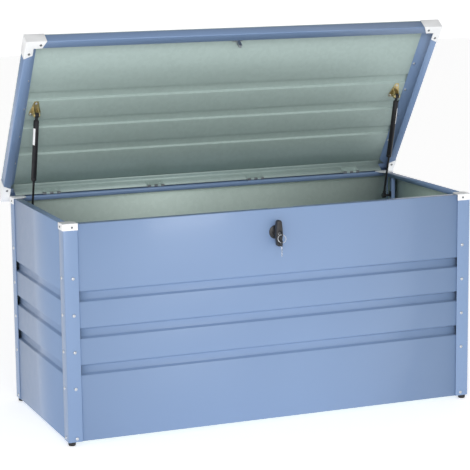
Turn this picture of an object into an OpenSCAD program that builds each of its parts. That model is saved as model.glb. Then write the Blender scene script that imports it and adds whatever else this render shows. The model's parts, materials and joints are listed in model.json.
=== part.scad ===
// Deck storage box: a sheet-steel chest on rubber feet, with a hinged lid held
// open by two gas struts and locked by a T-handle. Millimetres, +Z up, front at -Y.
// The origin is on the ground, in the middle of the open box's outline.

/* [Box] */
// Outer width of the box over its corner posts
body_w = 1320; // [900:10:1700]
// Outer depth of the box over its corner posts
body_d = 572; // [420:2:760]
// Height of the box walls, without the feet
body_h = 645; // [480:1:800]
// Thickness of the wall, floor and lid sheet
sheet_t = 1.2; // [0.8:0.1:2]
// Height of the rubber feet
foot_h = 12; // [6:1:30]
// Radius of a rubber foot where it meets the box
foot_r = 12; // [9:0.5:16]

/* [Wall sheets] */
// Distance from one pressed channel to the next
channel_pitch = 109; // [80:1:140]
// Height of a pressed channel
channel_h = 32; // [20:1:50]
// Depth of a pressed channel
channel_d = 9; // [4:0.5:14]
// Height that each sloping side of a channel takes up
channel_slope = 5; // [3:0.5:10]
// Depth of the flange folded inwards at the top of a wall
flange_d = 24; // [18:1:34]
// Height of the lip folded down from the top flange
lip_h = 12; // [6:1:24]
// Depth of the flange folded inwards at the bottom of a wall
foot_flange_d = 26; // [25:1:40]

/* [Corners] */
// Width of each leg of the outer corner posts
post_w = 43; // [36:1:60]
// Sheet thickness of the corner posts
post_t = 1.5; // [1:0.1:2.5]
// Distance from the corner to the line of post screws
screw_inset = 26; // [22:1:30]
// Height of the lowest post screw above the bottom of the wall
low_screw_z = 10; // [8:1:20]
// Radius of the post and cap screws
screw_r = 2.5; // [2:0.1:3]
// Width of the inner corner angle's leg along the end wall
angle_w = 38; // [34:1:60]
// Distance that the rear angles stand ahead of the inner corners
rear_angle_in = 35; // [20:1:36]
// Thickness of the moulded corner caps
cap_t = 2; // [1.5:0.1:3]
// Height of the corner cap skirts on the box
cap_h = 18; // [14:1:24]

/* [Lid] */
// How far the lid is open at rest, from closed
open_angle = 56; // [40:1:75]
// How far the lid stands out beyond the box ends and the back
lid_over = 24; // [18:1:34]
// How far the lid stands out beyond the front of the box
lid_over_front = 31; // [24:1:40]
// Height of the lid's top sheet above the hinge axis
lid_rise = 38; // [34:1:60]
// Height of the lid rim
rim_h = 34; // [30:1:50]
// Width of the lip folded inwards under the lid rim, at the front and the ends
rim_lip = 24; // [16:1:26]
// Width of the lip folded inwards under the lid rim, at the back
rear_lip = 15; // [10:1:17]
// Width of the rim flange that the top sheet is riveted to
rim_flange = 43; // [36:1:46]
// Distance from the hinge axis to the middle lid channel
lid_channel_y = 258.5; // [240:0.5:272]
// Width of a pressed channel in the lid
lid_channel_w = 36; // [26:1:44]
// Depth of a pressed channel in the lid
lid_channel_d = 6; // [3:0.5:10]
// Width that each steep side of a lid channel takes up
lid_channel_slope = 2.5; // [1.5:0.5:6]
// Length of each arm of the lid corner caps
lid_cap_arm = 62; // [50:1:80]

/* [Hinges] */
// Length of one hinge
hinge_len = 58; // [40:1:90]
// Distance between the two middle hinges
hinge_pitch = 350; // [240:5:420]
// Distance from the ends of the box to the middle of the outer hinges
hinge_end = 135; // [90:5:180]
// Radius of the hinge knuckles
knuckle_r = 3.6; // [3:0.1:4]
// Radius of the hinge pins
pin_r = 1.8; // [1.2:0.1:2.2]
// Radial running clearance of pins and pivots
run_fit = 0.06; // [0.02:0.01:0.1]

/* [Gas struts] */
// Distance from the box's end faces to the strut's centre line
strut_inset = 48; // [44:1:80]
// Distance from the hinge axis to the strut's pivot on the lid
strut_lid_y = 311; // [296:1:326]
// Height of the strut's pivot on the lid above the hinge axis, lid closed
strut_lid_z = 16; // [12:1:20]
// Distance from the back face to the strut's pivot in the box
strut_box_y = 72; // [60:1:90]
// Distance from the top of the box down to the strut's pivot
strut_box_z = 72; // [60:1:90]
// Outer radius of the strut cylinder
strut_r = 8.5; // [7:0.5:11]
// Length of the strut cylinder
strut_len = 200; // [170:1:215]
// Radius of the strut rod
rod_r = 3.5; // [3:0.1:5]
// Radius of the pivot pins at the strut ends
strut_pin_r = 3; // [2.5:0.1:4]

/* [Lock] */
// Distance from the top of the box down to the lock's axis
lock_drop = 70; // [66:1:90]
// Length of the T-handle from end to end
handle_len = 80; // [60:1:110]
// Radius of the round plate behind the handle
rose_r = 21; // [17:1:28]
// Radius of the lock's threaded barrel
barrel_r = 9; // [8:0.5:12]
// Radius of the handle's spindle
spindle_r = 6; // [5:0.5:7]
// Radius of the wire of the key ring
ring_wire_r = 0.9; // [0.6:0.1:1.2]
// Outer radius of the key ring
ring_r = 13; // [9:0.5:15]

/* [Hidden] */
$fn = 48;

paint = [0.56, 0.65, 0.80];
paint_dark = [0.38, 0.50, 0.70];
zinc = [0.66, 0.72, 0.70];
cap_white = [0.95, 0.95, 0.95];
rubber = [0.08, 0.08, 0.08];
gold = [0.78, 0.66, 0.32];

e = 0.01;
part_gap = 0.3;
fit_gap = 0.1;
wide = 4000;
corners = [[-1, -1], [1, -1], [-1, 1], [1, 1]];

// Heights and the planes of the box
z_bot = foot_h;
z_top = foot_h + body_h;
panel_in = post_t + sheet_t;
angle_in = panel_in + channel_d;
handle_out = 54;
front_reach = handle_out - post_t;
hinge_back = 1;
hinge_rise = 4;
lid_back = lid_over + hinge_back;
back_reach = -hinge_back + (lid_back + cap_t) * cos(open_angle) + (lid_rise + cap_t) * sin(open_angle);
y_shift = (front_reach - back_reach) / 2;
y_front = y_shift - body_d / 2;
y_back = y_shift + body_d / 2;
y_panel = y_front + post_t;
hinge_y = y_back - hinge_back;
hinge_z = z_top + hinge_rise;

// Lengths of the wall sheets between posts, and of their folded flanges
long_len = body_w - 2 * post_t;
long_flange = long_len - 2 * (sheet_t + part_gap);
long_lip = long_len - 2 * (flange_d + part_gap);
end_len = body_d - 2 * (angle_in + part_gap);
end_flange = body_d - 2 * (post_t + flange_d + part_gap);
end_foot_flange = body_d - 2 * (post_t + foot_flange_d + part_gap);

// Pressed channels: height, depth and slope
wall_channel = [channel_h, channel_d, channel_slope];
lid_channel = [lid_channel_w, lid_channel_d, lid_channel_slope];
floor_rib = [channel_h, 6, channel_slope];

// Screws down each post, midway between the channels, and the one at the bottom
channel_z = [for (i = [-1:1]) body_h / 2 + i * channel_pitch];
post_screw_z = concat([low_screw_z], [for (i = [-1.5:1:1.5]) body_h / 2 + i * channel_pitch]);
screw_hole_r = screw_r + fit_gap;
head_r = 2 * screw_r;
head_h = screw_r;
cap_head_r = 1.3 * screw_r;
foot_in = foot_r + 2;
foot_plug_r = 4;
cap_head_h = 1.6;
nut_h = 3;

// Lid outline, measured from the hinge axis with the lid closed
lid_half = body_w / 2 + lid_over;
lid_front = body_d - hinge_back + lid_over_front;
rim_z = lid_rise - rim_h;
rail_top = lid_rise - sheet_t;
web_y = knuckle_r;
hinge_x = [hinge_end - body_w / 2, -hinge_pitch / 2, hinge_pitch / 2, body_w / 2 - hinge_end];
knuckles = 5;
leaf_t = 1.5;
leaf_d = 20;
rivet_r = 2.2;
rivet_line = 11;
rivet_head_h = 1.2;

// Strut pivots, in the box's frame with the lid open at rest
strut_x = body_w / 2 - strut_inset;
lid_pivot = [-strut_lid_y * cos(open_angle) + strut_lid_z * sin(open_angle) + hinge_y,
             strut_lid_y * sin(open_angle) + strut_lid_z * cos(open_angle) + hinge_z];
box_pivot = [y_back - strut_box_y, z_top - strut_box_z];
strut_span = norm(lid_pivot - box_pivot);
strut_lean = atan2(box_pivot[0] - lid_pivot[0], lid_pivot[1] - box_pivot[1]);
socket_w = 12;
socket_r = 8;
socket_len = 16;
gland_len = 14;
pin_gap = 0.5;
bracket_t = 2;

// Lock
lock_z = z_top - lock_drop;
hook_t = 2.5;
hook_y = y_panel + 14;
keeper_y_gap = 1.5;
keeper_r = 2.5;
keeper_rise = 12;
hook_in_r = lock_drop + keeper_rise + keeper_r + 1;
hook_out_r = hook_in_r + 6;
hook_side = keeper_r + 7;
keeper_w = 30;
keeper_ear_t = 2;
keeper_gap = hook_t + 2 * keeper_y_gap;
keeper_y = hook_y + hook_t / 2 - hinge_y;
keeper_half = keeper_gap / 2 + keeper_ear_t;
slot_half = sqrt(hook_out_r * hook_out_r - lock_drop * lock_drop) + 3;
key_hole_r = 3.5;
key_t = 2.6;
blade_h = 7;
key_hole_y = y_panel - 48;
ring_turn = -35;
ring_mid_r = ring_r - ring_wire_r;
ring_rise = 1.2;
ring_top_z = lock_z - key_hole_r + ring_wire_r + ring_rise;

// ---------------------------------------------------------------- wall sheets

// Outline of one channel, going up: its middle and its size as [height, depth, slope]
function channel_path(z, size) = [
    [0, z - size[0] / 2],
    [size[1], z - size[0] / 2 + size[2]],
    [size[1], z + size[0] / 2 - size[2]],
    [0, z + size[0] / 2]
];

// The same channel on the back of the sheet, which keeps its thickness on the slopes
function back_size(size) = size + [2 * sheet_t * tan(atan2(size[1], size[2]) / 2), 0, 0];

// Section of a sheet with pressed channels, outer face on the line x = 0
module ribbed_section(low, high, centres, size) {
    outer = concat([[0, low]], [for (z = centres, p = channel_path(z, size)) p], [[0, high]]);
    inner = concat([[0, low]], [for (z = centres, p = channel_path(z, back_size(size))) p], [[0, high]]);
    count = len(inner);
    polygon(concat(outer, [for (i = [count - 1:-1:0]) inner[i] + [sheet_t, 0]]));
}

// Lays a section down: its outer face looks down, and its length runs along Y
module laid_down() {
    rotate(-90)
        mirror([1, 0])
            children();
}

// Extrudes a section in the Y-Z plane along X, centred
module along_x(length) {
    rotate([90, 0, 90])
        translate([0, 0, -length / 2])
            linear_extrude(length)
                children();
}

// One wall: its outer face is at y = 0, facing -Y, and its bottom edge at z = 0
module wall(length, top_length, lip_length, bottom_length) {
    along_x(length)
        ribbed_section(0, body_h, channel_z, wall_channel);
    along_x(top_length)
        translate([0, body_h - sheet_t])
            square([flange_d, sheet_t]);
    along_x(lip_length)
        translate([flange_d - sheet_t, body_h - lip_h])
            square([sheet_t, lip_h]);
    along_x(bottom_length)
        square([foot_flange_d, sheet_t]);
}

// Screw holes down both ends of a wall whose end is this far from the corner
module wall_screw_holes(half) {
    for (side = [-1, 1], z = post_screw_z)
        translate([side * (half - screw_inset), -5, z])
            rotate([-90, 0, 0])
                cylinder(r = screw_hole_r, h = 15);
}

// Screw holes for the cap skirts, near the top of a wall or a post
module cap_screw_holes(half) {
    for (side = [-1, 1])
        translate([side * (half - screw_inset), -5, body_h - cap_h / 2])
            rotate([-90, 0, 0])
                cylinder(r = screw_hole_r, h = 15);
}

module long_wall() {
    difference() {
        wall(long_len, long_flange, long_lip, long_flange);
        wall_screw_holes(body_w / 2);
        cap_screw_holes(body_w / 2);
        for (side = [-1, 1])
            translate([side * (body_w / 2 - foot_in), foot_in - post_t, -e])
                cylinder(r = foot_plug_r + fit_gap, h = sheet_t + 2 * e);
    }
}

module end_wall() {
    difference() {
        wall(end_len, end_flange, end_flange, end_foot_flange);
        wall_screw_holes(body_d / 2);
        cap_screw_holes(body_d / 2);
    }
}

module front_panel() {
    color(paint)
        difference() {
            translate([0, y_panel, z_bot])
                long_wall();
            translate([0, y_panel - 5, lock_z])
                rotate([-90, 0, 0])
                    cylinder(r = barrel_r + fit_gap, h = 15);
            hook_slot();
        }
}

// Slot in the front wall's top flange, where the lock's hook swings up
module hook_slot() {
    translate([-hook_side - 10, hook_y - 2, z_top - sheet_t - 1])
        cube([slot_half + hook_side + 10, hook_t + 4, sheet_t + 2]);
}

module rear_panel() {
    color(paint)
        translate([0, y_back - post_t, z_bot])
            rotate([0, 0, 180])
                difference() {
                    long_wall();
                    for (x = hinge_x, side = [-1, 1])
                        translate([x + side * hinge_len / 3, -leaf_t, body_h - rivet_line])
                            rotate([-90, 0, 0])
                                cylinder(r = rivet_r, h = 10);
                }
}

module side_panel(side) {
    color(paint)
        translate([side * (body_w / 2 - post_t), y_shift, z_bot])
            rotate([0, 0, side * 90])
                end_wall();
}

// Floor sheet with raised ribs, lying on the bottom flanges
module floor_panel() {
    floor_w = body_w - 2 * (panel_in + part_gap);
    floor_d = body_d - 2 * (panel_in + part_gap);
    color(zinc)
        difference() {
            translate([0, y_shift, z_bot + sheet_t])
                for (part = [0:2])
                    floor_strip(part, floor_w, floor_d);
            for (c = corners)
                translate([c[0] * (body_w / 2 - foot_in), y_shift + c[1] * (body_d / 2 - foot_in), z_bot])
                    cylinder(r = foot_plug_r + fit_gap, h = 10);
        }
}

// The ribbed middle of the floor and its two flat end strips
module floor_strip(part, w, d) {
    flat = 60;
    ribs = [for (i = [-1:1]) i * channel_pitch];
    if (part == 0) {
        along_x(w - 2 * flat)
            laid_down()
                ribbed_section(-d / 2, d / 2, ribs, floor_rib);
    } else {
        side = part == 1 ? -1 : 1;
        translate([side * (w - flat) / 2, 0, sheet_t / 2])
            cube([flat + 2 * e, d, sheet_t], center = true);
        translate([side * (w / 2 - flat - sheet_t / 2), 0, sheet_t / 2])
            rib_ends(ribs, floor_rib);
    }
}

// Closed ends of upright ribs, a sheet's thickness wide
module rib_ends(ribs, size) {
    along_x(sheet_t)
        laid_down()
            for (y = ribs)
                polygon(channel_path(y, size));
}

// -------------------------------------------------------------------- corners

// Places a piece made for the front left corner (corner at the origin, box
// towards +X and +Y) at any corner of the box
module at_corner(c, z) {
    translate([c[0] * body_w / 2, y_shift + c[1] * body_d / 2, z])
        mirror([c[0] > 0 ? 1 : 0, 0, 0])
            mirror([0, c[1] > 0 ? 1 : 0, 0])
                children();
}

// Screw axes on both outer faces of a corner, pointing into the box
module corner_screws(heights) {
    for (z = heights) {
        translate([screw_inset, 0, z])
            rotate([-90, 0, 0])
                children();
        translate([0, screw_inset, z])
            rotate([0, 90, 0])
                children();
    }
}

module post(c) {
    color(paint)
        at_corner(c, z_bot)
            difference() {
                union() {
                    cube([post_w, post_t, body_h]);
                    cube([post_t, post_w, body_h]);
                }
                corner_screws(concat(post_screw_z, [body_h - cap_h / 2]))
                    translate([0, 0, -1])
                        cylinder(r = screw_hole_r, h = post_t + 2);
            }
}

// Inner angle: stands on the floor and bears on the end wall's channels. The
// front ones are in the corners. The rear ones are ahead of them, for the struts
module inner_angle(c) {
    short_leg = 14;
    low = 2 * sheet_t;
    height = body_h - lip_h - part_gap - low;
    rear = c[1] > 0;
    color(paint_dark)
        at_corner(c, z_bot + low)
            translate([angle_in, angle_in + (rear ? rear_angle_in : 0), 0]) {
                cube([sheet_t, angle_w, height]);
                translate([0, rear ? angle_w - sheet_t : 0, 0])
                    cube([short_leg, sheet_t, height]);
            }
}

// Moulded cap over a corner of the box: a top plate and two skirts
module box_cap(c) {
    over = post_w + 1;
    color(cap_white)
        at_corner(c, z_top)
            difference() {
                union() {
                    linear_extrude(cap_t)
                        polygon([
                            [-cap_t, -cap_t], [over, -cap_t], [over, over - 12],
                            [over - 12, over], [-cap_t, over]
                        ]);
                    translate([-cap_t, -cap_t, -cap_h])
                        cube([over + cap_t, cap_t, cap_h + e]);
                    translate([-cap_t, -cap_t, -cap_h])
                        cube([cap_t, over + cap_t, cap_h + e]);
                }
                corner_screws([-cap_h / 2])
                    translate([0, 0, -cap_t - 1])
                        cylinder(r = screw_hole_r, h = cap_t + 2);
            }
}

module foot(c) {
    color(rubber)
        at_corner(c, 0)
            translate([foot_in, foot_in, 0]) {
                cylinder(r1 = foot_r - 1.5, r2 = foot_r, h = foot_h);
                translate([0, 0, foot_h - e])
                    cylinder(r = foot_plug_r, h = 2 * sheet_t);
            }
}

// A pan-head screw with its nut, head at z = 0 pointing down, shank along +z
module screw(grip, big_r, high) {
    translate([0, 0, -high])
        cylinder(r = big_r, h = high);
    translate([0, 0, -e])
        cylinder(r = screw_r, h = grip + nut_h + 1);
    translate([0, 0, grip])
        cylinder(r = head_r, h = nut_h, $fn = 6);
}

module post_screws() {
    color(zinc)
        for (c = corners)
            at_corner(c, z_bot)
                corner_screws(post_screw_z)
                    screw(panel_in, head_r, head_h);
}

module cap_screws() {
    color(zinc)
        for (c = corners)
            at_corner(c, z_top)
                corner_screws([-cap_h / 2])
                    translate([0, 0, -cap_t])
                        screw(panel_in + cap_t, cap_head_r, cap_head_h);
}

// ------------------------------------------------------------------------ lid

// Turns the closed lid, drawn about its hinge axis, to where it rests
module lid_place() {
    translate([0, hinge_y, hinge_z])
        rotate([-open_angle, 0, 0])
            children();
}

// Section of the lid rim, outer face at y = 0 and the box side towards +y
module rim_section(flange, lip) {
    translate([0, rim_z])
        square([sheet_t, rim_h - sheet_t]);
    translate([0, rim_z])
        square([lip, sheet_t]);
    translate([0, rail_top - sheet_t])
        square([flange, sheet_t]);
}

// One rim rail, mitred at both ends, its outer face at y = 0 and centred on x = 0
module rail(length, flange, lip) {
    reach = rim_flange + 10;
    intersection() {
        along_x(length)
            rim_section(flange, lip);
        translate([0, 0, -50])
            linear_extrude(150)
                polygon([
                    [-length / 2, 0], [length / 2, 0],
                    [length / 2 - reach - fit_gap, reach], [fit_gap + reach - length / 2, reach]
                ]);
    }
}

lid_depth = lid_front + lid_back;
lid_mid_y = (lid_back - lid_front) / 2;
rivet_in = rim_flange - 2 * rivet_r - 4.6;
rivet_shift = 7;
side_rivet_y = [for (i = [-1.5:1:1.5]) -lid_channel_y - rivet_shift - i * channel_pitch];
front_rivet_x = [for (i = [-4:1:4]) i * body_w / 9];

// Rivet axes along the rim, pointing up, on the underside of its flange
module rivet_places() {
    for (side = [-1, 1], y = side_rivet_y)
        translate([side * (lid_half - rivet_in), y, 0])
            children();
    for (x = front_rivet_x)
        translate([x, rivet_in - lid_front, 0])
            children();
}

module rivet_holes() {
    rivet_places()
        translate([0, 0, rail_top - 5])
            cylinder(r = rivet_r, h = 10);
}

module lid_rail_front() {
    color(paint_dark)
        lid_place()
            difference() {
                translate([0, -lid_front, 0])
                    rail(2 * lid_half, rim_flange, rim_lip);
                rivet_holes();
                translate([-keeper_w / 2 - part_gap, keeper_y - keeper_half - part_gap, rail_top - sheet_t - 1])
                    cube([keeper_w + 2 * part_gap, 2 * (keeper_half + part_gap), sheet_t + 2]);
            }
}

module lid_rail_rear() {
    color(paint_dark)
        lid_place()
            translate([0, lid_back, 0])
                rotate([0, 0, 180])
                    rail(2 * lid_half, lid_back - web_y - sheet_t, rear_lip);
}

module lid_rail_side(side) {
    color(paint_dark)
        lid_place()
            difference() {
                translate([side * lid_half, lid_mid_y, 0])
                    rotate([0, 0, side * 90])
                        rail(lid_depth, rim_flange, rim_lip);
                rivet_holes();
            }
}

// Galvanised angle under the back of the lid, which carries the hinges
module lid_hinge_angle() {
    foot = 16;
    half = lid_half - rim_flange - part_gap;
    color(zinc)
        lid_place()
            difference() {
                along_x(2 * half) {
                    translate([web_y, rim_z])
                        square([sheet_t, rail_top - rim_z]);
                    translate([web_y - foot, rail_top - sheet_t])
                        square([foot + sheet_t, sheet_t]);
                }
                lid_leaf_rivets()
                    translate([0, 0, -5])
                        cylinder(r = rivet_r, h = 12);
            }
}

// Lid sheet: three ribs stand up from it, and it closes over the rim rails
module lid_sheet() {
    end_flat = 14;
    ribs = [for (i = [1:-1:-1]) -lid_channel_y - i * channel_pitch];
    color(paint_dark)
        lid_place()
            difference() {
                translate([0, 0, rail_top]) {
                    along_x(2 * (lid_half - end_flat))
                        laid_down()
                            ribbed_section(-lid_front, lid_back, ribs, lid_channel);
                    for (side = [-1, 1]) {
                        translate([side * (lid_half - end_flat / 2 - e / 2), lid_mid_y, sheet_t / 2])
                            cube([end_flat + e, lid_depth, sheet_t], center = true);
                        translate([side * (lid_half - end_flat - sheet_t / 2), 0, sheet_t / 2])
                            rib_ends(ribs, lid_channel);
                    }
                }
                rivet_holes();
            }
}

// Moulded cap over a corner of the lid, made for the front left corner with the
// corner at the origin: outer skirts and an L-shaped plate under the rim lip
module lid_cap(c) {
    arm = lid_cap_arm;
    cut = 12;
    lip = x_arm_lip(c);
    color(cap_white)
        lid_place()
            translate([c[0] * lid_half, lid_mid_y + c[1] * lid_depth / 2, 0])
                mirror([c[0] > 0 ? 1 : 0, 0, 0])
                    mirror([0, c[1] > 0 ? 1 : 0, 0])
                        difference() {
                            union() {
                                translate([0, 0, rim_z - cap_t])
                                    linear_extrude(cap_t)
                                        polygon([
                                            [-cap_t, -cap_t], [arm, -cap_t], [arm - cut, lip],
                                            [rim_lip, lip], [rim_lip, arm - cut], [-cap_t, arm]
                                        ]);
                                translate([-cap_t, -cap_t, rim_z - cap_t])
                                    cube([arm + cap_t, cap_t, rim_h + 2 * cap_t]);
                                translate([-cap_t, -cap_t, rim_z - cap_t])
                                    cube([cap_t, arm + cap_t, rim_h + 2 * cap_t]);
                                translate([0, 0, lid_rise])
                                    linear_extrude(cap_t)
                                        polygon([
                                            [-cap_t, -cap_t], [arm, -cap_t], [arm - cut, lip],
                                            [rim_lip, arm - cut], [-cap_t, arm]
                                        ]);
                            }
                            lid_cap_screw_places(c)
                                translate([0, 0, -1])
                                    cylinder(r = screw_hole_r, h = cap_t + 2);
                        }
}

// Width of the rim lip under a lid cap's arm along the front or the back
function x_arm_lip(c) = c[1] > 0 ? rear_lip : rim_lip;

// Screw axes of one lid cap, pointing up through the rim lip
module lid_cap_screw_places(c) {
    for (p = [[lid_cap_arm - 18, x_arm_lip(c) / 2], [rim_lip / 2, lid_cap_arm - 18]])
        translate([p[0], p[1], rim_z - cap_t])
            children();
}

module lid_cap_screws() {
    small_head = 1.6 * screw_r;
    color(zinc)
        lid_place()
            for (c = corners)
                translate([c[0] * lid_half, lid_mid_y + c[1] * lid_depth / 2, 0])
                    mirror([c[0] > 0 ? 1 : 0, 0, 0])
                        mirror([0, c[1] > 0 ? 1 : 0, 0])
                            lid_cap_screw_places(c) {
                                translate([0, 0, -1.5])
                                    cylinder(r = small_head, h = 1.5);
                                translate([0, 0, -e])
                                    cylinder(r = screw_r, h = cap_t);
                            }
}

// Blind rivets through the rim flange and the lid sheet
module lid_rivets() {
    low = rail_top - sheet_t;
    color(zinc)
        lid_place()
            rivet_places() {
                translate([0, 0, low - 1.4])
                    cylinder(r = 2 * rivet_r, h = 1.4);
                translate([0, 0, low - e])
                    cylinder(r = rivet_r - fit_gap / 2, h = 2 * sheet_t + e);
            }
}

// --------------------------------------------------------------------- hinges

// Knuckle number i of a hinge, about the hinge axis at the origin, with this bore
module knuckle(i, bore_r) {
    pitch = hinge_len / knuckles;
    translate([i * pitch - hinge_len / 2 + fit_gap, 0, 0])
        rotate([0, 90, 0])
            difference() {
                cylinder(r = knuckle_r, h = pitch - 2 * fit_gap);
                translate([0, 0, -1])
                    cylinder(r = bore_r, h = pitch + 2);
            }
}

// One leaf down the back of the box, drawn about the hinge axis
module box_leaf() {
    pitch = hinge_len / knuckles;
    difference() {
        union() {
            for (i = [0:2:knuckles - 1])
                knuckle(i, pin_r);
            translate([-hinge_len / 2 + fit_gap, hinge_back - post_t, -hinge_rise - leaf_d])
                cube([hinge_len - 2 * fit_gap, leaf_t, leaf_d + hinge_rise - pin_r]);
        }
        rotate([0, 90, 0])
            cylinder(r = pin_r, h = hinge_len + 2, center = true);
        for (i = [1:2:knuckles - 2])
            translate([i * pitch - hinge_len / 2 - part_gap, -knuckle_r - part_gap, -knuckle_r - part_gap])
                cube([pitch + 2 * part_gap, 20, 20]);
        box_rivets()
            translate([0, 0, -leaf_t - 1])
                cylinder(r = rivet_r, h = leaf_t + 2);
    }
}

// Rivet axes of one box leaf, pointing back, from the leaf's outer face
module box_rivets() {
    for (side = [-1, 1])
        translate([side * hinge_len / 3, hinge_back - post_t + leaf_t, -hinge_rise - rivet_line])
            rotate([-90, 0, 0])
                children();
}

module hinge_box_leaves() {
    color(zinc)
        for (x = hinge_x)
            translate([x, hinge_y, hinge_z])
                box_leaf();
}

module hinge_box_rivets() {
    color(zinc)
        for (x = hinge_x)
            translate([x, hinge_y, hinge_z])
                box_rivets() {
                    cylinder(r = 2 * rivet_r, h = rivet_head_h);
                    translate([0, 0, -leaf_t - sheet_t])
                        cylinder(r = rivet_r - fit_gap / 2, h = leaf_t + sheet_t + e);
                }
}

// One leaf on the lid, drawn about the hinge axis with the lid closed
module lid_leaf() {
    pitch = hinge_len / knuckles;
    leaf_h = rail_top - sheet_t - part_gap;
    difference() {
        union() {
            for (i = [1:2:knuckles - 2])
                knuckle(i, pin_r + run_fit);
            translate([-hinge_len / 2 + fit_gap, web_y - leaf_t, 0])
                cube([hinge_len - 2 * fit_gap, leaf_t, leaf_h]);
        }
        rotate([0, 90, 0])
            cylinder(r = pin_r + run_fit, h = hinge_len + 2, center = true);
        for (i = [0:2:knuckles - 1])
            translate([i * pitch - hinge_len / 2 - part_gap, -10, -10])
                cube([pitch + 2 * part_gap, 20, 10 + knuckle_r + part_gap]);
    }
}

// Rivet axes through the lid leaves, pointing back, on their front faces
module lid_leaf_rivets() {
    for (x = hinge_x, side = [-1, 1])
        translate([x + side * hinge_len / 3, web_y - leaf_t, lid_rise / 2])
            rotate([-90, 0, 0])
                children();
}

module hinge_lid_leaves() {
    color(zinc)
        lid_place()
            difference() {
                for (x = hinge_x)
                    translate([x, 0, 0])
                        lid_leaf();
                lid_leaf_rivets()
                    translate([0, 0, -5])
                        cylinder(r = rivet_r, h = 12);
            }
}

module hinge_lid_rivets() {
    color(zinc)
        lid_place()
            lid_leaf_rivets() {
                translate([0, 0, -rivet_head_h])
                    cylinder(r = 2 * rivet_r, h = rivet_head_h);
                translate([0, 0, -e])
                    cylinder(r = rivet_r - fit_gap / 2, h = leaf_t + sheet_t + e);
            }
}

module hinge_pins() {
    color(zinc)
        for (x = hinge_x)
            translate([x, hinge_y, hinge_z])
                rotate([0, 90, 0])
                    cylinder(r = pin_r, h = hinge_len + 1, center = true);
}

// ----------------------------------------------------------------- gas struts

// Bracket under the lid: a tapering base plate and two ears with a pivot pin
module strut_bracket(side) {
    plate_t = bracket_t;
    ear_t = 2;
    ear_out = socket_w / 2 + pin_gap;
    top = rail_top;
    color(gold)
        lid_place()
            translate([side * strut_x, -strut_lid_y, 0]) {
                difference() {
                    translate([0, 0, top - plate_t])
                        linear_extrude(plate_t)
                            polygon([[-18, 16], [18, 16], [18, 4], [7, -38], [-7, -38], [-18, 4]]);
                    for (p = bracket_holes)
                        translate([p[0], p[1], top - plate_t - 1])
                            cylinder(r = rivet_r, h = plate_t + 2);
                }
                for (s = [-1, 1])
                    translate([s * (ear_out + ear_t / 2), 0, 0])
                        rotate([0, 90, 0])
                            translate([0, 0, -ear_t / 2]) {
                                translate([-strut_lid_z, 0, 0])
                                    cylinder(r = 7, h = ear_t);
                                linear_extrude(ear_t)
                                    polygon([
                                        [-strut_lid_z, -7], [-strut_lid_z, 7],
                                        [e - top + plate_t, 12], [e - top + plate_t, -12]
                                    ]);
                            }
                translate([0, 0, strut_lid_z])
                    rotate([0, 90, 0])
                        cylinder(r = strut_pin_r, h = 2 * (ear_out + ear_t) + 3, center = true);
            }
}

bracket_holes = [[-13, 10], [13, 10], [0, -30]];
plate_boss_r = 7.5;
plate_holes = [12, 21];
plate_high = 22;

// Screws of the lid brackets, up through the lid sheet
module bracket_screws() {
    color(zinc)
        lid_place()
            for (side = [-1, 1], p = bracket_holes)
                translate([side * strut_x + p[0], p[1] - strut_lid_y, rail_top - bracket_t])
                    small_screw(bracket_t);
}

// Screws of the strut plates, out through the inner corner angles
module plate_screws() {
    color(zinc)
        for (side = [-1, 1], y = plate_holes)
            translate([side * (body_w / 2 - angle_in - sheet_t - bracket_t), box_pivot[0] + y, box_pivot[1]])
                rotate([0, side * 90, 0])
                    small_screw(bracket_t);
}

// A small pan-head screw, head at z = 0 pointing down, shank along +z
module small_screw(grip) {
    translate([0, 0, -1.6])
        cylinder(r = 1.9 * rivet_r, h = 1.6);
    translate([0, 0, -e])
        cylinder(r = rivet_r, h = grip + e);
}

// Plate inside the box near the back corner, with the strut's lower stud
module strut_plate(side) {
    plate_t = bracket_t;
    face = angle_in + sheet_t;
    stud = strut_inset - socket_w / 2 - pin_gap - face;
    color(rubber)
        translate([side * body_w / 2, box_pivot[0], box_pivot[1]])
            mirror([side > 0 ? 1 : 0, 0, 0])
                translate([face, 0, 0]) {
                    difference() {
                        translate([0, -plate_boss_r - 2, -plate_high / 2])
                            cube([plate_t, plate_boss_r + plate_holes[1] + 7, plate_high]);
                        for (y = plate_holes)
                            translate([-1, y, 0])
                                rotate([0, 90, 0])
                                    cylinder(r = rivet_r, h = plate_t + 2);
                    }
                    rotate([0, 90, 0]) {
                        cylinder(r = plate_boss_r, h = plate_t + 3);
                        cylinder(r = strut_pin_r + 1, h = stud);
                    }
                }
}

// Places a strut piece drawn along +z from the box pivot at the origin
module strut_place(side) {
    translate([side * strut_x, box_pivot[0], box_pivot[1]])
        rotate([strut_lean, 0, 0])
            children();
}

module strut_cylinder(side) {
    high = strut_span - socket_len;
    low = high - strut_len;
    color(rubber)
        strut_place(side) {
            difference() {
                union() {
                    translate([0, 0, low])
                        cylinder(r = strut_r, h = strut_len);
                    translate([0, 0, high - e])
                        cylinder(r = 5, h = socket_len - socket_r / 2);
                    translate([0, 0, strut_span])
                        rotate([0, 90, 0])
                            cylinder(r = socket_r, h = socket_w, center = true);
                }
                translate([0, 0, low + gland_len])
                    cylinder(r = strut_r - 1.2, h = strut_len - gland_len - 6);
                translate([0, 0, low - 1])
                    cylinder(r = rod_r + run_fit, h = gland_len + 2);
                translate([0, 0, strut_span])
                    rotate([0, 90, 0])
                        cylinder(r = strut_pin_r + run_fit, h = socket_w + 2, center = true);
            }
        }
}

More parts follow.
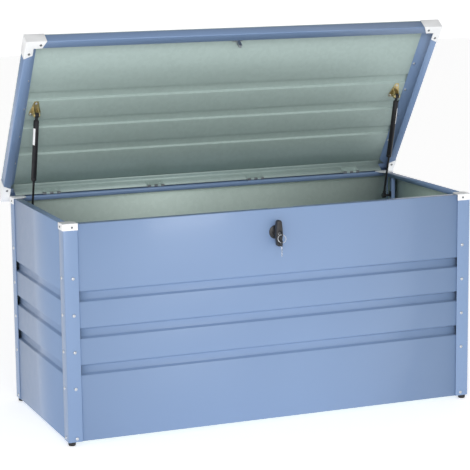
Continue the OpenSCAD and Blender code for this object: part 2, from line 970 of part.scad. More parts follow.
module strut_rod(side) {
    low = strut_span - socket_len - strut_len;
    color(rubber)
        strut_place(side) {
            rotate([0, 90, 0])
                cylinder(r = socket_r, h = socket_w, center = true);
            cylinder(r = 5, h = socket_len);
            cylinder(r = rod_r, h = low + gland_len + 12);
            translate([0, 0, low + gland_len + 4])
                cylinder(r = strut_r - 1.2 - run_fit, h = 8);
        }
}

// ----------------------------------------------------------------------- lock

// Turns a shape drawn along +z so that it runs along the lock's axis, from the
// face of the front wall towards the inside of the box
module lock_place() {
    translate([0, y_panel, lock_z])
        rotate([-90, 0, 0])
            children();
}

rose_t = 4;
hub_out = 9;
nut_t = 5;
barrel_in = 12;

module lock_body() {
    color(rubber)
        lock_place()
            difference() {
                union() {
                    translate([0, 0, -rose_t])
                        cylinder(r = rose_r, h = rose_t);
                    translate([0, 0, -hub_out])
                        cylinder(r = 13, h = hub_out);
                    translate([0, 0, -e])
                        cylinder(r = barrel_r, h = barrel_in);
                }
                translate([0, 0, -hub_out - 1])
                    cylinder(r = spindle_r + run_fit, h = hub_out + barrel_in + 2);
            }
}

module lock_nut() {
    color(zinc)
        lock_place()
            translate([0, 0, sheet_t])
                difference() {
                    cylinder(r = barrel_r + 6, h = nut_t, $fn = 6);
                    translate([0, 0, -1])
                        cylinder(r = barrel_r, h = nut_t + 2);
                }
}

handle_near = hub_out + part_gap;
handle_far = 33;
plug_r = 5.5;
plug_len = 14;

// T-handle: a tapering bar with a round boss, on a spindle through the wall
module lock_handle() {
    bar_near = 15;
    end_r = 8;
    end_z = handle_len / 2 - end_r;
    color(rubber)
        lock_place()
            difference() {
                union() {
                    translate([0, 0, -handle_far])
                        linear_extrude(handle_far - bar_near) {
                            circle(r = 11);
                            polygon([
                                [-end_r, -end_z], [end_r, -end_z], [11, 0],
                                [end_r, end_z], [-end_r, end_z], [-11, 0]
                            ]);
                            for (s = [-1, 1])
                                translate([0, s * end_z])
                                    circle(r = end_r);
                        }
                    translate([0, 0, -bar_near - e])
                        cylinder(r = 10, h = bar_near - handle_near + e);
                    translate([0, 0, -bar_near])
                        cylinder(r = spindle_r, h = bar_near + hook_z + hook_t + 5);
                }
                translate([0, 0, -handle_far - 1])
                    cylinder(r = plug_r + run_fit, h = plug_len + 1);
            }
}

hook_z = hook_y - y_panel;

// Hook inside the box: level when unlocked, it swings up through the flange
// and its finger passes over the keeper pin on the lid
module lock_hook() {
    arm_w = 10;
    finger = 15;
    color(zinc)
        lock_place()
            translate([0, 0, hook_z])
                rotate([0, 0, 90])
                    difference() {
                        linear_extrude(hook_t) {
                            circle(r = 12);
                            translate([hook_side - arm_w / 2, -hook_in_r - 2])
                                square([arm_w, hook_in_r + 2]);
                            translate([0, -e])
                                square([hook_side + arm_w / 2, 12]);
                            intersection() {
                                difference() {
                                    circle(r = hook_out_r, $fn = 96);
                                    circle(r = hook_in_r, $fn = 96);
                                }
                                translate([hook_side - arm_w / 2 - finger, -wide / 20])
                                    square([finger + arm_w, wide / 20]);
                            }
                        }
                        translate([0, 0, -1])
                            cylinder(r = spindle_r, h = hook_t + 2);
                    }
}

module lock_plug() {
    color(zinc)
        lock_place()
            difference() {
                translate([0, 0, -handle_far - 0.5])
                    cylinder(r = plug_r, h = plug_len);
                translate([-key_t / 2, -blade_h / 2, -handle_far - 2])
                    cube([key_t, blade_h, plug_len]);
            }
}

// A key as a flat plate in the Y-Z plane: round head with a hole, and a blade
// towards +Y. The hole is at the origin
module key_shape(blade) {
    rotate([0, 90, 0])
        translate([0, 0, -key_t / 2])
            linear_extrude(key_t)
                difference() {
                    union() {
                        circle(r = 6);
                        translate([0, 5])
                            circle(r = 9.5);
                        translate([-blade_h / 2, 10])
                            square([blade_h, blade]);
                    }
                    circle(r = key_hole_r);
                }
}

module key() {
    color(rubber)
        translate([0, key_hole_y, lock_z])
            key_shape(key_hole_reach);
}

key_hole_reach = y_panel - handle_far + plug_len - 4 - key_hole_y - 10;

// Turns what hangs from the key about the vertical line through its hole
module hang() {
    translate([0, key_hole_y, ring_top_z])
        rotate([0, 0, ring_turn])
            children();
}

module key_ring() {
    color(zinc)
        hang()
            translate([0, 0, -ring_mid_r])
                rotate([90, 0, 0])
                    rotate_extrude($fn = 64)
                        translate([ring_mid_r, 0])
                            circle(r = ring_wire_r, $fn = 20);
}

module spare_key() {
    color(rubber)
        hang()
            translate([0, 0, key_hole_r - 2 * ring_mid_r - ring_wire_r])
                rotate([-90, 0, 0])
                    key_shape(34);
}

// Keeper on the lid: a plate under the front rim with two ears and a pin
module lock_keeper() {
    ear_w = 10;
    below_pin = 4;
    pin_z = keeper_rise - hinge_rise;
    color(zinc)
        lid_place()
            translate([0, keeper_y, 0]) {
                translate([-keeper_w / 2, -keeper_half, rail_top - keeper_ear_t])
                    cube([keeper_w, 2 * keeper_half, keeper_ear_t]);
                for (y = [-keeper_half, keeper_gap / 2])
                    translate([-ear_w / 2, y, pin_z - below_pin])
                        cube([ear_w, keeper_ear_t, rail_top - pin_z + below_pin]);
                translate([0, 0, pin_z])
                    rotate([90, 0, 0])
                        cylinder(r = keeper_r, h = keeper_gap + keeper_ear_t, center = true);
            }
}

// ----------------------------------------------------------------------- build

front_panel();
rear_panel();
side_panel(-1);  // left_panel
side_panel(1);  // right_panel
floor_panel();
post([-1, -1]);  // post_front_left
post([1, -1]);  // post_front_right
post([-1, 1]);  // post_rear_left
post([1, 1]);  // post_rear_right
inner_angle([-1, -1]);  // angle_front_left
inner_angle([1, -1]);  // angle_front_right
inner_angle([-1, 1]);  // angle_rear_left
inner_angle([1, 1]);  // angle_rear_right
box_cap([-1, -1]);  // cap_front_left
box_cap([1, -1]);  // cap_front_right
box_cap([-1, 1]);  // cap_rear_left
box_cap([1, 1]);  // cap_rear_right
foot([-1, -1]);  // foot_front_left
foot([1, -1]);  // foot_front_right
foot([-1, 1]);  // foot_rear_left
foot([1, 1]);  // foot_rear_right
post_screws();
cap_screws();
hinge_box_leaves();
hinge_lid_leaves();
hinge_pins();
hinge_box_rivets();
hinge_lid_rivets();
lid_sheet();
lid_rail_front();
lid_rail_rear();
lid_rail_side(-1);  // lid_rail_left
lid_rail_side(1);  // lid_rail_right
lid_hinge_angle();
lid_cap([-1, -1]);  // lid_cap_front_left
lid_cap([1, -1]);  // lid_cap_front_right
lid_cap([-1, 1]);  // lid_cap_rear_left
lid_cap([1, 1]);  // lid_cap_rear_right
lid_cap_screws();
lid_rivets();
lock_keeper();
strut_bracket(-1);  // strut_bracket_left
strut_bracket(1);  // strut_bracket_right
strut_plate(-1);  // strut_plate_left
strut_plate(1);  // strut_plate_right
bracket_screws();
plate_screws();
strut_cylinder(-1);  // strut_cylinder_left
strut_cylinder(1);  // strut_cylinder_right
strut_rod(-1);  // strut_rod_left
strut_rod(1);  // strut_rod_right
lock_body();
lock_nut();
lock_handle();
lock_hook();
lock_plug();
key();
key_ring();
spare_key();
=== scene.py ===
import json
import math

import bmesh
import bpy
from mathutils import Matrix, Vector


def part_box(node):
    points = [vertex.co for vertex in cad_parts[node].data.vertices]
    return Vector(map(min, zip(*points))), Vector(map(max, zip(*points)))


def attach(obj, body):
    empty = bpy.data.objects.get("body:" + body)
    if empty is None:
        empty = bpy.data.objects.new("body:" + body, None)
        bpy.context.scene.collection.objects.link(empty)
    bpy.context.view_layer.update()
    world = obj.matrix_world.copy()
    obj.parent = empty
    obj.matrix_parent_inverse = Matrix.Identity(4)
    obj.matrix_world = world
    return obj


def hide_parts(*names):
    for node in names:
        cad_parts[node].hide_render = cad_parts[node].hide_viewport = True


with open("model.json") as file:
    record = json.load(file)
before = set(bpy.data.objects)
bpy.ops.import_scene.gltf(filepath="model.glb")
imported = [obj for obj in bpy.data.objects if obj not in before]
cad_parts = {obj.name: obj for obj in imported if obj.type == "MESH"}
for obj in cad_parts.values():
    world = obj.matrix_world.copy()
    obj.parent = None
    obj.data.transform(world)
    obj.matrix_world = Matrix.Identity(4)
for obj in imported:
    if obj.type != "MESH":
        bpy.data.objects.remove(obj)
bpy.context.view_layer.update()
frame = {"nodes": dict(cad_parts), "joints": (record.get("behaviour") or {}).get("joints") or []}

scene = bpy.context.scene


# ---- Studio -------------------------------------------------------------
# A white floor under the box, one broad soft light from the front left, and
# a white surround that darkens overhead.
def light_panel(name, place, aim, width, height, watts):
    lamp = bpy.data.lights.new(name, "AREA")
    lamp.shape = "RECTANGLE"
    lamp.size = width
    lamp.size_y = height
    lamp.energy = watts
    obj = bpy.data.objects.new(name, lamp)
    scene.collection.objects.link(obj)
    obj.location = place
    obj.rotation_euler = (Vector(aim) - Vector(place)).to_track_quat("-Z", "Y").to_euler()


light_panel("front_light", (-1.6, -5.2, 2.2), (0, 0, 0.4), 4.0, 2.6, 120)

surround = bpy.data.worlds.new("surround")
scene.world = surround
surround.use_nodes = True
sky = surround.node_tree.nodes["Background"]
sky.inputs["Color"].default_value = (1, 1, 1, 1)
sky_place = surround.node_tree.nodes.new("ShaderNodeTexCoord")
sky_parts = surround.node_tree.nodes.new("ShaderNodeSeparateXYZ")
sky_fade = surround.node_tree.nodes.new("ShaderNodeMapRange")
sky_fade.inputs["From Min"].default_value = 0.05
sky_fade.inputs["From Max"].default_value = 0.75
sky_fade.inputs["To Min"].default_value = 1.12
sky_fade.inputs["To Max"].default_value = 0.3
for link in ((sky_place.outputs["Generated"], sky_parts.inputs["Vector"]),
             (sky_parts.outputs["Z"], sky_fade.inputs["Value"]),
             (sky_fade.outputs["Result"], sky.inputs["Strength"])):
    surround.node_tree.links.new(*link)
scene.view_settings.view_transform = "Standard"

floor_mesh = bmesh.new()
bmesh.ops.create_grid(floor_mesh, x_segments=2, y_segments=2, size=14)
floor_data = bpy.data.meshes.new("floor")
floor_mesh.to_mesh(floor_data)
floor_mesh.free()
floor = bpy.data.objects.new("floor", floor_data)
scene.collection.objects.link(floor)
floor_paper = bpy.data.materials.new("floor_paper")
floor_paper.use_nodes = True
floor_shader = floor_paper.node_tree.nodes["Principled BSDF"]
floor_shader.inputs["Base Color"].default_value = (0.97, 0.97, 0.97, 1)
floor_shader.inputs["Roughness"].default_value = 0.9
floor_shader.inputs["Emission Color"].default_value = (1, 1, 1, 1)
floor_shader.inputs["Emission Strength"].default_value = 0.5
floor_data.materials.append(floor_paper)

# The camera stands to the left of the box, a little above its open lid.
camera_data = bpy.data.cameras.new("camera")
sensor_w = 36
frame_w = 470
focal_length = 1811.6
camera_data.sensor_width = sensor_w
camera_data.lens = focal_length / frame_w * sensor_w
camera_data.clip_end = 60
camera = bpy.data.objects.new("camera", camera_data)
scene.collection.objects.link(camera)
wall_low, wall_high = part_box("front_panel")
post_low, post_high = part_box("post_front_left")
corner = Vector((post_low.x, post_low.y, post_low.z))
heading, pitch, roll = (math.radians(a) for a in (21.977, -10.167, -0.597))
camera.location = corner + Vector((-1.4489, -4.8999, 1.5233))
look = Vector((math.sin(heading) * math.cos(pitch), math.cos(heading) * math.cos(pitch), math.sin(pitch)))
right = Vector((math.cos(heading), -math.sin(heading), 0))
up = right.cross(look)
right_rolled = right * math.cos(roll) + up * math.sin(roll)
up_rolled = up * math.cos(roll) - right * math.sin(roll)
camera.rotation_euler = Matrix((right_rolled, up_rolled, -look)).transposed().to_euler()
scene.camera = camera


# ---- Front wall ----------------------------------------------------------
# One sheet of pre-painted galvanised steel: powder blue outside, zinc inside.
# Three channels are rolled into it, its top and foot are folded in, and a slot
# in the top fold lets the lock's hook through.
def finish_nodes(name, color, metallic, roughness):
    material = bpy.data.materials.new(name)
    material.use_nodes = True
    shader = material.node_tree.nodes["Principled BSDF"]
    shader.inputs["Base Color"].default_value = (*color, 1)
    shader.inputs["Metallic"].default_value = metallic
    shader.inputs["Roughness"].default_value = roughness
    return material, material.node_tree, shader


def wire(tree, out_node, out_socket, in_node, in_socket):
    tree.links.new(out_node.outputs[out_socket], in_node.inputs[in_socket])


def grain(tree, kind, scale, detail=2.0):
    place = tree.nodes.new("ShaderNodeTexCoord")
    texture = tree.nodes.new(kind)
    texture.inputs["Scale"].default_value = scale
    if kind == "ShaderNodeTexNoise":
        texture.inputs["Detail"].default_value = detail
    wire(tree, place, "Object", texture, "Vector")
    return texture


def spread(tree, texture, socket, low, high, shader, target):
    band = tree.nodes.new("ShaderNodeMapRange")
    band.inputs["To Min"].default_value = low
    band.inputs["To Max"].default_value = high
    wire(tree, texture, socket, band, "Value")
    wire(tree, band, "Result", shader, target)


def tone(tree, texture, socket, dark, light, shader):
    ramp = tree.nodes.new("ShaderNodeValToRGB")
    ramp.color_ramp.elements[0].position = 0.3
    ramp.color_ramp.elements[0].color = (*dark, 1)
    ramp.color_ramp.elements[1].position = 0.7
    ramp.color_ramp.elements[1].color = (*light, 1)
    wire(tree, texture, socket, ramp, "Fac")
    wire(tree, ramp, "Color", shader, "Base Color")


def rough_skin(tree, texture, socket, strength, distance, shader):
    bump = tree.nodes.new("ShaderNodeBump")
    bump.inputs["Strength"].default_value = strength
    bump.inputs["Distance"].default_value = distance
    wire(tree, texture, socket, bump, "Height")
    wire(tree, bump, "Normal", shader, "Normal")


blue_paint, tree, shader = finish_nodes("blue_paint", (0.20, 0.30, 0.49), 0.0, 0.4)
shader.inputs["Coat Weight"].default_value = 0.25
shader.inputs["Coat Roughness"].default_value = 0.18
paint_drift = grain(tree, "ShaderNodeTexNoise", 2.2)
tone(tree, paint_drift, "Fac", (0.195, 0.292, 0.480), (0.207, 0.308, 0.500), shader)
peel = grain(tree, "ShaderNodeTexNoise", 420, 3)
rough_skin(tree, peel, "Fac", 0.05, 0.0006, shader)
spread(tree, grain(tree, "ShaderNodeTexNoise", 35, 4), "Fac", 0.34, 0.46, shader, "Roughness")


def zinc_finish(name, dark, light):
    zinc, tree, shader = finish_nodes(name, light, 0.25, 0.5)
    tone(tree, grain(tree, "ShaderNodeTexVoronoi", 85), "Color", dark, light, shader)
    spread(tree, grain(tree, "ShaderNodeTexNoise", 18, 3), "Fac", 0.47, 0.55, shader, "Roughness")
    rough_skin(tree, grain(tree, "ShaderNodeTexNoise", 240, 2), "Fac", 0.02, 0.0003, shader)
    return zinc


# The zinc inside the box is the lid's zinc painted lighter: painted light that makes up for the shade inside
# the box.
bare_zinc = zinc_finish("bare_zinc", (0.362, 0.455, 0.432), (0.380, 0.476, 0.452))
zinc_with_painted_light = zinc_finish("zinc_with_painted_light", (0.555, 0.665, 0.620), (0.580, 0.690, 0.645))

sheet_t = 0.0012
channel_pitch = 0.109
channel_h = 0.032
channel_slope = 0.005
channel_d = 0.009


def put_together(name, bm, finishes, body, slot, *nodes, wall=0.0, soft_edge=0.0, inner=0, angle=35):
    data = bpy.data.meshes.new(name)
    bm.to_mesh(data)
    bm.free()
    for finish in finishes:
        data.materials.append(finish)
    data.polygons.foreach_set("use_smooth", [True] * len(data.polygons))
    data.set_sharp_from_angle(angle=math.radians(angle))
    obj = bpy.data.objects.new(name, data)
    scene.collection.objects.link(obj)
    if wall:
        thick = obj.modifiers.new("thickness", "SOLIDIFY")
        thick.thickness = wall
        thick.offset = -1
        thick.use_even_offset = True
        thick.material_offset = inner
        thick.material_offset_rim = inner
    if soft_edge:
        rounded = obj.modifiers.new("soft_edge", "BEVEL")
        rounded.width = soft_edge
        rounded.segments = 2
        rounded.limit_method = "ANGLE"
        rounded.angle_limit = math.radians(40)
        rounded.harden_normals = False
    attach(obj, body)
    if nodes:
        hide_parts(*nodes)
    return obj


def channels(centres, depth):
    half = channel_h / 2
    steps = ((0, -half), (depth, channel_slope - half), (depth, half - channel_slope), (0, half))
    return [(d, z + rise) for z in centres for d, rise in steps]


def draw_line(bm, points):
    row = [bm.verts.new(point) for point in points]
    return row, [bm.edges.new(pair) for pair in zip(row, row[1:])]


def new_corners(pulled):
    return [g for g in pulled if isinstance(g, bmesh.types.BMVert)]


def strip(points, stations):
    """Pulls a line of (y, z) points along X through the stations."""
    bm = bmesh.new()
    edges = draw_line(bm, [(stations[0], y, z) for y, z in points])[1]
    for before, after in zip(stations, stations[1:]):
        pulled = bmesh.ops.extrude_edge_only(bm, edges=edges)["geom"]
        edges = [g for g in pulled if isinstance(g, bmesh.types.BMEdge)]
        bmesh.ops.translate(bm, vec=(after - before, 0, 0), verts=new_corners(pulled))
    return bm


def face_out(bm, outward):
    bmesh.ops.recalc_face_normals(bm, faces=bm.faces)
    largest = max(bm.faces, key=lambda f: f.calc_area())
    largest.normal_update()
    if largest.normal.dot(Vector(outward)) < 0:
        bmesh.ops.reverse_faces(bm, faces=bm.faces)


def round_edges(bm, edges, radius, segments):
    bmesh.ops.bevel(bm, geom=edges, offset=radius, segments=segments, profile=0.5,
                    affect="EDGES", material=-1)


def round_folds(bm, radius, segments=3):
    least_fold = 0.15
    folds = [e for e in bm.edges if len(e.link_faces) == 2 and e.calc_face_angle() > least_fold]
    round_edges(bm, folds, radius, segments)


wall_h = wall_high.z - wall_low.z
wall_half = wall_high.x
flange_d = 0.024
lip_h = 0.012
foot_flange_d = 0.026
fold_r = 0.0022
channel_z = [wall_h / 2 + i * channel_pitch for i in (-1, 0, 1)]


def wall_sheet(half, extra=()):
    line = [(foot_flange_d, 0), (0, 0)] + channels(channel_z, channel_d) + [(0, wall_h)]
    line += [(y, wall_h) for y in extra] + [(flange_d, wall_h), (flange_d, wall_h - lip_h)]
    bm = strip(line, (-half, half))
    for v in bm.verts:
        on_top = v.co.z > wall_h - lip_h - 1e-5 and v.co.y > channel_d
        on_foot = v.co.z < 1e-5
        if on_top or on_foot:
            v.co.x -= math.copysign(v.co.y, v.co.x)
    face_out(bm, (0, -1, 0))
    round_folds(bm, fold_r)
    return bm


slot_y = (0.012, 0.0185)
slot_x = (-0.0195, 0.0634)
bm = wall_sheet(wall_half, slot_y)
for x in slot_x:
    whole = bm.verts[:] + bm.edges[:] + bm.faces[:]
    bmesh.ops.bisect_plane(bm, geom=whole, plane_co=(x, 0, 0), plane_no=(1, 0, 0))
opening = [f for f in bm.faces if f.calc_center_median().z > wall_h - 1e-4
           and slot_y[0] < f.calc_center_median().y < slot_y[1]
           and slot_x[0] < f.calc_center_median().x < slot_x[1]]
bmesh.ops.delete(bm, geom=opening, context="FACES")
bm.transform(Matrix.Translation((0, wall_low.y, wall_low.z)))
# The insides of the walls take the zinc painted lighter, as painted light for the shade in the box.
wall_sides = (blue_paint, zinc_with_painted_light)
put_together("front_wall", bm, wall_sides, "box", "blue_paint", "front_panel", wall=sheet_t, inner=1)

# ---- Rear wall and end walls ----------------------------------------------
# Rolled and folded from the same sheet as the front. The end walls stand
# behind the channels of the long walls.
rear_low, rear_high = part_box("rear_panel")
bm = wall_sheet(wall_half)
bm.transform(Matrix.Translation((0, rear_high.y, rear_low.z)) @ Matrix.Rotation(math.pi, 4, "Z"))
put_together("rear_wall", bm, wall_sides, "box", "blue_paint", "rear_panel", wall=sheet_t, inner=1)

for side, turn in (("left", -1), ("right", 1)):
    low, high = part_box(side + "_panel")
    middle = (low.y + high.y) / 2
    edge = high.x if turn > 0 else low.x
    bm = wall_sheet((high.y - low.y) / 2)
    bm.transform(Matrix.Translation((edge, middle, low.z)) @ Matrix.Rotation(turn * math.pi / 2, 4, "Z"))
    put_together(side + "_wall", bm, wall_sides, "box", "blue_paint", side + "_panel",
                 wall=sheet_t, inner=1)

# ---- Floor sheet -----------------------------------------------------------
# Unpainted galvanised sheet with three raised ribs, dropped onto the flanges
# at the foot of the walls.
floor_low, floor_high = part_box("floor_panel")
floor_half = (floor_high.y - floor_low.y) / 2
rib_rise = floor_high.z - floor_low.z - sheet_t
floor_rib_flat = 0.057
floor_rib_ramp = 0.006


def ribbed(low, high, centres, size, half, flat, ramp):
    rib_h, rise, slope = size
    half_h = rib_h / 2
    steps = (-half_h, slope - half_h, half_h - slope, half_h)
    ys = [low] + [c + s for c in centres for s in steps] + [high]
    stations = (-half, flat - half, flat + ramp - half, half - flat - ramp, half - flat, half)
    bm = strip([(y, 0) for y in ys], stations)
    crown = half_h - slope + 1e-4
    raised = [v for v in bm.verts if abs(v.co.x) < half - flat - ramp + 1e-4
              and any(abs(v.co.y - c) < crown for c in centres)]
    bmesh.ops.translate(bm, vec=(0, 0, rise), verts=raised)
    face_out(bm, (0, 0, 1))
    return bm


bm = ribbed(-floor_half, floor_half, [i * channel_pitch for i in (-1, 0, 1)],
            (channel_h, rib_rise, channel_slope), floor_high.x, floor_rib_flat, floor_rib_ramp)
bm.transform(Matrix.Translation((0, (floor_low.y + floor_high.y) / 2, floor_low.z + sheet_t)))
# The floor sheet takes the zinc painted lighter, as painted light for the shade in the box.
put_together("floor_sheet", bm, (zinc_with_painted_light,), "box", "galvanised_sheet", "floor_panel", wall=sheet_t)

# ---- Corner posts ----------------------------------------------------------
# Angles of thicker painted steel outside each corner. The wall sheets are
# screwed to them from outside.
corners = {"front_left": (-1, -1), "front_right": (1, -1), "rear_left": (-1, 1), "rear_right": (1, 1)}
post_w = post_high.x - post_low.x
post_t = 0.0015
half_w = -post_low.x
half_d = (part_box("post_rear_left")[1].y - post_low.y) / 2
middle_y = (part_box("post_rear_left")[1].y + post_low.y) / 2
wall_foot = post_low.z
wall_top = post_high.z


def corner_place(side, z):
    """Takes a piece made for a corner at the origin, box towards +X and +Y, to its corner."""
    mirror = Matrix.Diagonal((-side[0], -side[1], 1, 1))
    return Matrix.Translation((side[0] * half_w, middle_y + side[1] * half_d, z)) @ mirror


def place_mirrored(bm, matrix):
    bm.transform(matrix)
    if matrix.determinant() < 0:
        bmesh.ops.reverse_faces(bm, faces=bm.faces)


def pull_up(bm, edges, rise):
    """Pulls edges straight up and gives the corners that moved."""
    raised = new_corners(bmesh.ops.extrude_edge_only(bm, edges=edges)["geom"])
    bmesh.ops.translate(bm, vec=(0, 0, rise), verts=raised)
    return raised


def face_down_axis(bm, axis):
    """Turns a folded sheet so that its face square to the axis looks back along it."""
    bmesh.ops.recalc_face_normals(bm, faces=bm.faces)
    if next(f for f in bm.faces if abs(f.normal[axis]) > 0.9).normal[axis] > 0:
        bmesh.ops.reverse_faces(bm, faces=bm.faces)


def upright_angle(line, height, axis):
    """Pulls a line of (x, y) points up into an angle bar."""
    bm = bmesh.new()
    pull_up(bm, draw_line(bm, [(x, y, 0) for x, y in line])[1], height)
    face_down_axis(bm, axis)
    return bm


post_fold_r = 0.0026
for name, side in corners.items():
    bm = upright_angle(((0, post_w), (0, 0), (post_w, 0)), wall_top - wall_foot, 1)
    round_folds(bm, post_fold_r, 4)
    place_mirrored(bm, corner_place(side, wall_foot))
    put_together("corner_post_" + name, bm, (blue_paint,), "box", "blue_paint", "post_" + name,
                 wall=post_t, soft_edge=0.0003)

# ---- Box corner caps ---------------------------------------------------------
# White mouldings pushed over the top of each corner: a plate with its inner
# corner cut off and a skirt down each outer face, screwed to the post.
white_plastic, tree, shader = finish_nodes("white_plastic", (0.84, 0.85, 0.86), 0.0, 0.42)
tone(tree, grain(tree, "ShaderNodeTexNoise", 12), "Fac", (0.82, 0.83, 0.84), (0.86, 0.87, 0.88), shader)
rough_skin(tree, grain(tree, "ShaderNodeTexNoise", 900, 2), "Fac", 0.05, 0.0003, shader)

cap_t = 0.002
cap_h = 0.018
cap_past_post = 0.001
cap_reach = post_w + cap_past_post
cap_cut = 0.012
for name, side in corners.items():
    bm = bmesh.new()
    outline = ((cap_reach, -cap_t), (cap_reach, cap_reach - cap_cut), (cap_reach - cap_cut, cap_reach),
               (-cap_t, cap_reach), (-cap_t, -cap_t))
    plate = bm.faces.new([bm.verts.new((x, y, cap_t)) for x, y in outline])
    skirt = [e for e in plate.edges if all(min(v.co.x, v.co.y) < -cap_t + 1e-6 for v in e.verts)
             and min(abs(d) for d in (e.verts[0].co - e.verts[1].co).xy) < 1e-6]
    pull_up(bm, skirt, -cap_h - cap_t)
    face_out(bm, (0, 0, 1))
    place_mirrored(bm, corner_place(side, wall_top))
    put_together("corner_cap_" + name, bm, (white_plastic,), "box", "white_plastic", "cap_" + name,
                 wall=cap_t, soft_edge=0.0007)

# ---- Feet ---------------------------------------------------------------------
# Round black rubber studs with a rounded sole, pushed up into the bottom
# flange under each corner.
black_rubber, tree, shader = finish_nodes("black_rubber", (0.02, 0.02, 0.021), 0.0, 0.75)
tone(tree, grain(tree, "ShaderNodeTexNoise", 60), "Fac", (0.016, 0.016, 0.017), (0.028, 0.028, 0.03), shader)
rough_skin(tree, grain(tree, "ShaderNodeTexNoise", 700, 3), "Fac", 0.15, 0.0004, shader)


def turned(outline, steps=32):
    """Spins a line of (radius, z) points about Z."""
    bm = bmesh.new()
    row, edges = draw_line(bm, [(r, 0, z) for r, z in outline])
    bmesh.ops.spin(bm, geom=row + edges, cent=(0, 0, 0), axis=(0, 0, 1), dvec=(0, 0, 0),
                   angle=math.tau, steps=steps, use_merge=True, use_duplicate=False)
    bmesh.ops.remove_doubles(bm, verts=bm.verts, dist=1e-6)
    bmesh.ops.recalc_face_normals(bm, faces=bm.faces)
    return bm


plug_r = 0.004
for name, side in corners.items():
    low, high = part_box("foot_" + name)
    foot_r = (high.x - low.x) / 2
    foot_h = wall_foot - low.z
    bm = turned(((0, 0), (foot_r - 0.003, 0), (foot_r - 0.0018, 0.0008), (foot_r - 0.0013, 0.002),
                 (foot_r, foot_h - 0.001), (foot_r - 0.0006, foot_h), (plug_r, foot_h),
                 (plug_r, foot_h + 0.004), (0, foot_h + 0.0044)))
    bm.transform(Matrix.Translation(((low.x + high.x) / 2, (low.y + high.y) / 2, low.z)))
    put_together("rubber_foot_" + name, bm, (black_rubber,), "box", "black_rubber", "foot_" + name)

# ---- Screws -----------------------------------------------------------------
# Zinc-plated pan heads with a cross recess, down both faces of each post and
# through the skirts of the caps, with a nut on the inside of the sheet.
zinc_plate, tree, shader = finish_nodes("zinc_plate", (0.62, 0.64, 0.66), 0.9, 0.3)
tone(tree, grain(tree, "ShaderNodeTexNoise", 150, 4), "Fac", (0.56, 0.585, 0.61), (0.70, 0.715, 0.73), shader)
spread(tree, grain(tree, "ShaderNodeTexNoise", 300, 2), "Fac", 0.22, 0.4, shader, "Roughness")


def add_copy(target, source, matrix):
    copy = source.copy()
    place_mirrored(copy, matrix)
    data = bpy.data.meshes.new("copy")
    copy.to_mesh(data)
    copy.free()
    target.from_mesh(data)
    bpy.data.meshes.remove(data)


def pan_head(radius, height, shank_r, reach):
    """A screw pointing along +Z with the underside of its head at z = 0."""
    bm = turned(((0, -height), (radius * 0.28, -height), (radius * 0.55, -height * 0.96),
                 (radius * 0.85, -height * 0.7), (radius * 0.97, -height * 0.35), (radius, 0),
                 (shank_r, 0), (shank_r, reach), (0, reach)), 16)
    arms = []
    for f in bm.faces:
        c = f.calc_center_median()
        if c.z < -height * 0.9 and math.hypot(c.x, c.y) < radius * 0.5:
            turn = math.degrees(math.atan2(c.y, c.x)) % 90
            if 0 < turn < 22.5:
                arms.append(f)
    pushed = bmesh.ops.extrude_face_region(bm, geom=arms)["geom"]
    bmesh.ops.translate(bm, vec=(0, 0, height * 0.5), verts=new_corners(pushed))
    bmesh.ops.delete(bm, geom=arms, context="FACES")
    return bm


def nut(radius, height):
    bm = bmesh.new()
    bmesh.ops.create_cone(bm, cap_ends=True, segments=6, radius1=radius, radius2=radius, depth=height)
    bmesh.ops.translate(bm, vec=(0, 0, height / 2), verts=bm.verts)
    round_edges(bm, bm.edges[:], 0.0004, 1)
    return bm


screw_r = 0.0025
screw_inset = 0.026
grip = post_t + sheet_t
low_screw_z = 0.010
nut_h = 0.003
screw_spare = 0.004
post_screw_z = [low_screw_z] + [wall_h / 2 + i * channel_pitch for i in (-1.5, -0.5, 0.5, 1.5)]
into_y = Matrix.Rotation(-math.pi / 2, 4, "X")
into_x = Matrix.Rotation(math.pi / 2, 4, "Y")


def corner_screws(name, heights, proud, head_r, head_h, finish, node):
    head = pan_head(head_r, head_h, screw_r, grip + proud + screw_spare)
    inner_nut = nut(2 * screw_r, nut_h)
    bm = bmesh.new()
    for side in corners.values():
        for z in heights:
            for place in (Matrix.Translation((screw_inset, -proud, z)) @ into_y,
                          Matrix.Translation((-proud, screw_inset, z)) @ into_x):
                at = corner_place(side, wall_foot) @ place
                add_copy(bm, head, at)
                add_copy(bm, inner_nut, at @ Matrix.Translation((0, 0, grip + proud)))
    put_together(name, bm, (finish,), "box", "zinc_plate", node)


corner_screws("wall_screws", post_screw_z, 0, 2 * screw_r, screw_r, zinc_plate, "post_screws")

dull_zinc, tree, shader = finish_nodes("dull_zinc", (0.2, 0.21, 0.22), 0.8, 0.45)
tone(tree, grain(tree, "ShaderNodeTexNoise", 150, 4), "Fac", (0.15, 0.16, 0.17), (0.26, 0.27, 0.28), shader)
cap_head_r = 0.00325
cap_head_h = 0.0016
corner_screws("cap_screw_set", [wall_h - cap_h / 2], cap_t, cap_head_r, cap_head_h, dull_zinc, "cap_screws")

# ---- Inner angles -------------------------------------------------------------
# Narrow painted angles from the floor to the lip of the top flange, against the
# end walls. The rear pair stands ahead of the corners and carries the struts.
angle_in = post_t + sheet_t + channel_d
thin_fold_r = 0.002
for name, side in corners.items():
    low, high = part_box("angle_" + name)
    width, leg = high.y - low.y, high.x - low.x
    start = half_d - abs((low.y + high.y) / 2 - middle_y) - width / 2
    line = ((0, start + width), (0, start), (leg, start))
    if side[1] > 0:
        line = ((0, start), (0, start + width), (leg, start + width))
    bm = upright_angle([(angle_in + x, y) for x, y in line], high.z - low.z, 0)
    round_folds(bm, thin_fold_r)
    place_mirrored(bm, corner_place(side, low.z))
    put_together("inner_angle_" + name, bm, (blue_paint,), "box", "blue_paint", "angle_" + name, wall=sheet_t)

